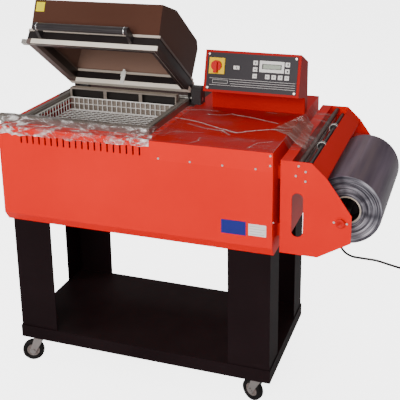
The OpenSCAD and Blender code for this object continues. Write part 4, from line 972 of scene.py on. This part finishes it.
# Creases of the film on the table, as runs of (x, y), each with its height and half width
TABLE_CREASES = [
    (3.6, 5.0, [(512, 240), (611, 209), (687, 166), (748, 137), (784, 169), (842, 203), (899, 214)]),
    (2.4, 5.0, [(600, 303), (640, 306), (677, 324)]),
    (3.0, 5.5, [(677, 324), (755, 305), (845, 270)]),
    (2.2, 7.0, [(578, 188), (635, 161), (699, 148), (735, 117)]),
    (1.4, 5.0, [(546, 69), (560, 100), (589, 104), (650, 116)]),
    (2.4, 4.0, [(778, 388), (812, 379)]),
    (1.6, 6.0, [(511, 330), (560, 352), (622, 350)]),
    (2.0, 4.5, [(699, 148), (722, 160), (748, 137)]),
    (1.5, 5.0, [(820, 20), (836, 70), (872, 96)]),
    (1.5, 5.0, [(640, 8), (662, 40), (655, 66)]),
]
FILM_LIFT = 0.4


def ruffle(x, y, scale, seed):
    """Ridged noise from 0 to 1 that gives sharp creases, in millimetres."""
    point = Vector((x / scale, y / scale, seed))
    bend = noise.noise_vector(point * 0.7)
    value = noise.noise(point + 0.9 * bend)
    return 1.0 - min(1.0, abs(value) * 2.4)


def distance_to_run(x, y, run):
    """Distance from a point to a run of straight pieces."""
    best = 1e9
    for (ax, ay), (bx, by) in zip(run, run[1:]):
        dx, dy = bx - ax, by - ay
        t = max(0.0, min(1.0, ((x - ax) * dx + (y - ay) * dy) / (dx * dx + dy * dy)))
        best = min(best, math.hypot(x - ax - t * dx, y - ay - t * dy))
    return best


def add_grid(bm, rows, columns, spot):
    """Sheet of quads whose vertex (i, j) is at spot(i share, j share), or left out if None."""
    verts = []
    for i in range(rows + 1):
        line = [spot(i / rows, j / columns) for j in range(columns + 1)]
        verts.append([None if p is None else bm.verts.new(p) for p in line])
    for i in range(rows):
        for j in range(columns):
            corners = (verts[i][j], verts[i + 1][j], verts[i + 1][j + 1], verts[i][j + 1])
            if None not in corners:
                bm.faces.new(corners).smooth = True


def film_piece(name, rows, columns, spot, material):
    """Film sheet whose spot gives a place and a share of whitish painted highlight at every vertex."""
    bm = bmesh.new()
    shares = []

    def place(i, j):
        point, share = spot(i, j)
        shares.append(max(0.0, min(1.0, share)))
        return point

    add_grid(bm, rows, columns, place)
    piece = link_piece(name, bm, material, "machine", "film_web", slot="film_sheet")
    painted_highlight_share = piece.data.attributes.new("painted_highlight_share", "FLOAT", "POINT")
    painted_highlight_share.data.foreach_set("value", shares)
    return piece


def make_table_film():
    """Clear film from the chamber to the table's right edge, with the photograph's creases."""
    x0, x1, y0, y1 = 503.6, 899.4, 4.0, 396.0

    def spot(i, j):
        x, y = x0 + (x1 - x0) * i, y0 + (y1 - y0) * j
        flat_edge = min(1.0, 8 * j, 8 * (1 - j), 8 * (1 - i), 8 * i)
        height = 0.9 * ruffle(x * 0.6, y, 46.0, 3.1) ** 2
        # share is painted highlight: whitish glints along the ridges, broad reflection patches, more near the front and
        # in the crumples beside the chamber
        share = 0.0
        for tall, wide, run in TABLE_CREASES:
            near = distance_to_run(x + 3 * noise.noise(Vector((x / 25, y / 25, 5))), y, run)
            height += tall * math.exp(-near / wide)
            share = max(share, 0.30 * tall * math.exp(-((near / (0.45 * wide)) ** 2)))
        along = ruffle(x * 0.25, y, 22.0, 9.4) ** 6
        share += 0.13 * max(0.0, 0.35 + 1.6 * noise.noise(Vector((x / 130.0, y / 55.0, 7.7))))
        share += 0.20 * along * (0.3 + 0.7 * (j < 0.25))
        beside = max(0.0, 1 - (x - x0) / 34.0)
        crumpled = ruffle(x, y, 15.0, 2.2) ** 3
        share += 0.75 * crumpled * beside
        height += 4.0 * crumpled * beside
        # Painted highlight along the film's front and right edges
        edge = 0.35 if j == 0 or i == 1 else 0.0
        return at(x, y, TABLE + FILM_LIFT + flat_edge * height), share + edge

    film_piece("film_on_table", 150, 148, spot, FILM)


# From inside the chamber over the fixed jaw, down to the deck and over its front edge, as (y, z)
APRON_PATH = [(74.5, 886.0), (70.0, 892.4), (45.5, 892.5), (41.0, 885.0), (20.0, 871.4), (2.0, 871.0), (-2.7, 868.6), (-3.2, 841.0)]
APRON_ENDS = (-8.0, 520.0)


def point_along(path, length):
    """Place on a path of (y, z) points and the way it runs there."""
    for (ay, az), (by, bz) in zip(path, path[1:]):
        run = math.hypot(by - ay, bz - az)
        if length <= run or (by, bz) == path[-1]:
            t = min(1.0, length / run)
            return ay + t * (by - ay), az + t * (bz - az), (by - ay) / run, (bz - az) / run
        length -= run
    return (*path[-1], 0.0, -1.0)


def make_apron():
    """Crumpled film over the fixed jaw, hanging a little over the casing's front."""
    total = sum(math.dist(a, b) for a, b in zip(APRON_PATH, APRON_PATH[1:]))
    x0, x1 = APRON_ENDS

    def spot(i, j):
        x = x0 + (x1 - x0) * i
        hang = 6.0 + 7.0 * noise.noise(Vector((x / 46.0, 3.3, 0))) + 5.0 * noise.noise(Vector((x / 15.0, 8.1, 0)))
        hang += 7.0 * max(0.0, (x - 380) / 140)
        length = j * (total - max(0.0, hang))
        y, z, along_y, along_z = point_along(APRON_PATH, length)
        fold = ruffle(x, 2.6 * length, 40.0, 1.7) ** 2
        fine = ruffle(x * 0.7, length, 13.0, 6.4) ** 3
        on_jaw = 45.0 <= y <= 71.0
        lift = 0.0 if on_jaw else 0.3 + 3.4 * fold + 1.8 * fine
        if y < 0.5:
            lift = min(lift, 5.4) + 0.4
        taper = min(1.0, 20 * i + 0.05, 20 * (1 - i) + 0.05)
        # Painted highlights: whitish glints in ridges, streaks and patches, stronger near both ends and weaker on the
        # jaw
        ridge = ruffle(x * 0.8 + length, 1.5 * length, 34.0, 1.7) ** 4
        streak = ruffle(x * 0.45 - 0.7 * length, length, 17.0, 6.4) ** 4
        glint_patch = min(1.0, max(0.0, 2.6 * noise.noise(Vector((x / 38.0, length / 21.0, 4.4))) - 0.25))
        ends = 0.50 + 0.6 * math.exp(-(((x - 70) / 90) ** 2)) + 0.6 * math.exp(-(((x - 492) / 40) ** 2))
        share = (0.80 * ridge + 0.75 * streak + 0.85 * glint_patch) * ends * (0.6 if on_jaw else 1.0)
        # Painted highlight along the film's lower edge
        share += 0.30 if j == 1 else 0.0
        return at(x, y - along_z * lift * -1.0 * taper if y > 0.5 else y - lift * taper, z + (abs(along_y) * lift * taper)), share

    film_piece("film_over_jaw", 240, 54, spot, FILM)


WEB_PATH = [
    (1000.1, 788.0), (997.1, 795.1), (990.0, 798.1), (973.5, 808.2), (973.0, 818.0), (977.4, 826.7), (979.1, 832.0),
    (976.4, 838.4), (970.0, 841.1), (950.0, 844.6), (917.0, 844.6), (901.2, 868.8), (899.6, 870.6),
]


def make_web():
    """Film from the roll round the rods and the guide roller to the table."""
    low = Vector(WEB_PATH[0])
    centre = Vector(REEL_AXIS)
    radius = 105.8
    gap = (low - centre).length
    reach = math.acos(radius / gap)
    heading = math.atan2(low.y - centre.y, low.x - centre.x)
    touch = [centre + radius * Vector((math.cos(a), math.sin(a))) for a in (heading + reach, heading - reach)]
    first = max(touch, key=lambda t: t.y)
    path = [tuple(first)] + WEB_PATH
    total = sum(math.dist(a, b) for a, b in zip(path, path[1:]))
    y0, y1 = 119.0, 527.0

    def spot(i, j):
        x, z, _, _ = point_along(path, i * total)
        y = y0 + (y1 - y0) * j
        # Painted highlights: thin whitish streaks on the open run of film
        streak = ruffle(i * total * 0.12, y, 24.0, 8.8) ** 5
        open_run = min(1.0, max(0.0, (i - 0.45) * 8))
        sag = 1.2 * open_run * noise.noise(Vector((i * 6, y / 60.0, 2.0)))
        return at(x, y, z + max(0.0, sag)), 0.40 * streak * open_run

    film_piece("film_from_roll", 110, 70, spot, FILM)


# Corners of the fold that stands up between the table and the guide roller
FOLD_TIP = (842.0, 212.0, 872.4)
FOLD_TOP = (903.0, 352.0, 880.0)
FOLD_RIGHT = (940.0, 357.0, 850.0)
FOLD_LOW = (966.0, 122.0, 847.0)
TABLE_EDGE = 901.5


def make_fold():
    """Doubled fold of film that runs slack from the table to the guide roller."""
    tip, top, right, low = (Vector(p) for p in (FOLD_TIP, FOLD_TOP, FOLD_RIGHT, FOLD_LOW))

    def spot(i, j):
        point = tip.lerp(low, i).lerp(top.lerp(right, i), j)
        wave = 3.0 * noise.noise(Vector((i * 3.0, j * 5.0, 6.0))) * math.sin(math.pi * i) ** 0.5
        # Painted highlights: whitish streaks and a light line along both long edges
        streak = ruffle(i * 20, j * 90, 18.0, 4.0) ** 4
        rim = 0.35 if j in (0.0, 1.0) else 0.0
        floor = TABLE + 1.6 - max(0.0, point.x - TABLE_EDGE) * 0.55
        return at(point.x, point.y, max(point.z + wave, floor)), 0.35 * streak + rim

    film_piece(
        "film_fold", 40, 48, spot, FILM_FOLD,
    )


make_table_film()
make_apron()
make_web()
make_fold()


# Print, labels and small fittings -------------------------------------------------------

PANEL_TOP = 2.0
KEY_TOP = 4.5
PRINT = 0.12
KEY_PLACES = {
    "key_left_low": (170, 60), "key_left_middle": (170, 81), "key_left_top": (170, 102),
    "key_row_1": (211.5, 60), "key_row_2": (232.5, 60), "key_row_3": (253.5, 60), "key_row_4": (274.5, 60),
    "key_right_middle": (274.5, 81), "key_right_top": (274.5, 102),
}
# Generic signs of the keys: blocks as (x, up, half width, half height)
KEY_SIGNS = {
    "key_left_low": [(0, 0, 4.0, 0.9)],
    "key_left_middle": [(-1.5, 0, 2.2, 0.9), (2.4, 0, 0.9, 2.4)],
    "key_left_top": [(0, 0, 4.0, 0.9), (0, 0, 0.9, 4.0)],
    "key_row_1": [(-2.2, 0, 0.8, 3.0), (1.4, 0, 2.0, 0.8)],
    "key_row_2": [(0, 1.6, 3.2, 0.8), (0, -1.6, 1.6, 0.8)],
    "key_row_3": [(0, 0, 0.9, 3.4), (2.2, 2.2, 1.2, 0.8)],
    "key_row_4": [(-2.4, 0, 1.0, 1.0), (2.4, 0, 1.0, 1.0), (0, 2.2, 1.0, 1.0)],
    "key_right_middle": [(0.8, -0.6, 2.4, 3.2)],
    "key_right_top": [(1.2, 0.4, 2.0, 3.6)],
}


def add_print(bm, x0, x1, up0, up1, out, thick=PRINT):
    """Flat block on the console's face between two corners, out from it."""
    add_block(bm, (x0, up0, out), (x1, up1, out + thick), at_face)


def make_console_print():
    """Lines and the empty frame printed on the panel, the keys' signs and the display's glass."""
    lines = bmesh.new()
    for start, height in ((84, 44.6), (87, 37.5), (90, 30.2), (93, 23.4)):
        add_print(lines, start, 303, height - 0.55, height + 0.55, PANEL_TOP)
    for start, end, height in ((20, 81, 44.6), (20, 91, 23.4), (30, 81, 40.4), (30, 81, 29.8)):
        add_print(lines, start, end, height - 0.45, height + 0.45, PANEL_TOP)
    for x in (30, 81):
        add_print(lines, x - 0.45, x + 0.45, 30.3, 39.9, PANEL_TOP)
    link_piece("panel_lines", lines, PRINT_WHITE, "machine")
    plate = bmesh.new()
    add_print(plate, 33, 78, 32, 38.2, PANEL_TOP)
    link_piece("name_plate_blank", plate, PRINT_DARK, "machine")
    for key, (x, up) in KEY_PLACES.items():
        sign = bmesh.new()
        for dx, dup, wide, high in KEY_SIGNS[key]:
            add_print(sign, x + dx - wide, x + dx + wide, up + dup - high, up + dup + high, KEY_TOP)
        link_piece("sign_of_" + key, sign, PRINT_DARK, key)
    window = bmesh.new()
    add_print(window, 192.4, 255.6, 83.8, 100.2, 4.0, 0.35)
    link_piece("display_surround", window, PRINT_DARK, "machine")
    glass = bmesh.new()
    add_print(glass, 195.5, 252.5, 85.6, 98.4, 4.0, 0.6)
    link_piece("display_glass", glass, SCREEN, "machine")
    mark = bmesh.new()
    add_print(mark, 106.6, 109.4, 79.6, 86.4, 2.6, 0.75)
    link_piece("rocker_mark", mark, PRINT_DARK, "rocker")


def make_labels():
    """Blank plates where the machine carries its labels."""
    blue, white, rows = bmesh.new(), bmesh.new(), bmesh.new()
    add_block(blue, (744, -0.35, 605), (820, 0.02, 649))
    add_block(white, (828, -0.35, 608), (882, 0.02, 645))
    for k in range(4):
        z = 612.5 + 8.2 * k
        add_block(rows, (832, -0.42, z), (832 + (44, 38, 46, 30)[k], -0.33, z + 1.3))
    link_piece("blue_plate", blue, BLUE_LABEL, "machine")
    link_piece("rating_plate", white, WHITE_LABEL, "machine")
    link_piece("rating_plate_lines", rows, GREY_PRINT, "machine")
    yellow = bmesh.new()
    add_block(yellow, (62, 26.2, 1000), (92, 26.8, 1030), at_hood_front)
    link_piece("hood_plate", yellow, LEMON, "hood")


# The shell's front runs up and forward from (47, 942.5) to (26, 1038.3)
FRONT_FOOT = (47.0, 942.5)
FRONT_TOP = (26.0, 1038.3)


def at_hood_front(x, out, z):
    """Place on the hood shell's sloping front: out is counted from y of its top edge."""
    share = (z - FRONT_FOOT[1]) / (FRONT_TOP[1] - FRONT_FOOT[1])
    y = FRONT_FOOT[0] + share * (FRONT_TOP[0] - FRONT_FOOT[0])
    return at_hood(x, y - (out - 26.4), z)


def make_fittings():
    """Catch at the hood's back, rings at the handle's ends and the spindle's red caps."""
    catch = bmesh.new()
    add_block(catch, (249, 366.2, 897), (263, 369.9, 943), at_hood)
    add_block(catch, (247, 363.6, 922), (265, 366.4, 939), at_hood)
    add_block(catch, (252, 362.6, 939), (260, 366.4, 949), at_hood)
    link_piece("hood_catch", catch, BASKET_WIRE, "hood")
    rings = bmesh.new()
    axis = (1, 0, 0)
    for x in (104.3, 404.0):
        add_lathe(
            rings, [(0, 12.0), (0, 13.0), (0.6, 13.3), (2.9, 13.3), (3.5, 13.0), (3.5, 12.0)],
            at_hood(x, -1, 931.5), axis, (0, 0, 1), 40,
        )
    link_piece("handle_rings", rings, CHROME, "hood")
    tyres, rim_glints = bmesh.new(), bmesh.new()
    for y in (254.0, 448.0):
        wheel = at(990, y, 817)
        add_lathe(tyres, [(-4.5, 12.0), (-4.5, 14.6), (-3.6, 15.2), (3.6, 15.2), (4.5, 14.6), (4.5, 12.0)],
                  wheel, (0, 1, 0), (0, 0, 1), 40)
        # Thin pale rings on both faces of each perforator wheel: painted highlights along the wheels' rims
        for side in (-5.2, 4.5):
            add_lathe(rim_glints, [(side, 13.0), (side, 15.4), (side + 0.7, 15.4), (side + 0.7, 13.0)],
                      wheel, (0, 1, 0), (0, 0, 1), 40)
    link_piece("perforator_tyres", tyres, TYRE, "perforator")
    link_piece("perforator_rim_glints", rim_glints, BASKET_WIRE, "perforator")
    bolt = bmesh.new()
    add_lathe(bolt, [(-0.5, 0.01), (-0.5, 5.2), (0.6, 5.2), (0.6, 3.8), (3.4, 3.4), (3.9, 0.01)],
              at(900, 12, 653), (1, 0, 0), (0, 0, 1), 24)
    link_piece("side_bolt", bolt, CHROME, "machine")
    caps = bmesh.new()
    for y, way in ((17.0, -1), (623.0, 1)):
        add_lathe(
            caps, [(-0.5, 0.01), (-0.5, 14.0), (4.6, 14.0), (5.6, 13.0), (5.6, 9.0), (4.4, 8.2), (4.4, 0.01)],
            at(REEL_AXIS[0], y, REEL_AXIS[1]), (0, way, 0), (0, 0, 1), 40,
        )
    link_piece("spindle_caps", caps, KNOB_RED, "machine")


make_console_print()
make_labels()
make_fittings()


# Stage and light ------------------------------------------------------------------------


def make_stage():
    """Pale flat floor, wide enough to fill the picture from any side."""
    bm = bmesh.new()
    reach = 30.0
    corners = ((-reach, -reach), (reach, -reach), (reach, reach), (-reach, reach))
    bm.faces.new([bm.verts.new((x, y, 0.0)) for x, y in corners])
    data = bpy.data.meshes.new("floor")
    bm.to_mesh(data)
    bm.free()
    floor = bpy.data.objects.new("floor", data)
    bpy.context.scene.collection.objects.link(floor)
    material, tree, surface = new_material(
        "studio_floor", Roughness=0.8, Specular_IOR_Level=0.1, Emission_Color=rgba(1.0, 1.0, 1.0)
    )
    # The camera sees a paler studio than the machine is lit by
    seen = add_node(tree, "LightPath").outputs["Is Camera Ray"]
    tree.links.new(math_node(tree, "MULTIPLY", seen, 4.0), surface.inputs["Emission Strength"])
    tone = add_node(tree, "TexNoise", Scale=2.0, Detail=2.0).outputs["Fac"]
    tree.links.new(mix_colour(tree, tone, rgba(0.90, 0.90, 0.90), rgba(0.94, 0.94, 0.94)), surface.inputs["Base Color"])
    data.materials.append(material)


def add_light(name, place, target, size, power, colour=(1.0, 1.0, 1.0)):
    data = bpy.data.lights.new(name, "AREA")
    data.shape = "RECTANGLE"
    data.size, data.size_y = size
    data.energy = power
    data.color = colour
    light = bpy.data.objects.new(name, data)
    way = Vector(place) - Vector(target)
    light.matrix_world = Matrix.Translation(place) @ way.to_track_quat("Z", "Y").to_matrix().to_4x4()
    bpy.context.scene.collection.objects.link(light)


def make_lights():
    middle = (0.0, 0.0, 0.8)
    add_light("front_softbox", (0.15, -3.25, 1.9), middle, (2.4, 1.6), 125.0, (1.0, 0.985, 0.96))
    add_light("left_softbox", (-3.0, -1.4, 2.2), middle, (1.6, 2.0), 34.0)
    add_light("top_softbox", (0.3, 0.4, 3.6), middle, (2.8, 1.6), 26.0)
    add_light("back_wash", (0.0, 2.6, 3.2), (0.0, 3.6, 0.0), (5.0, 1.0), 60.0)
    world = bpy.data.worlds.new("studio_world")
    world.use_nodes = True
    tree = world.node_tree
    background = tree.nodes["Background"]
    background.inputs["Color"].default_value = (1.0, 1.0, 1.0, 1.0)
    seen = add_node(tree, "LightPath").outputs["Is Camera Ray"]
    glow = math_node(tree, "MULTIPLY", seen, 5.0)
    tree.links.new(math_node(tree, "ADD", glow, 0.20), background.inputs["Strength"])
    bpy.context.scene.world = world


make_stage()
make_lights()
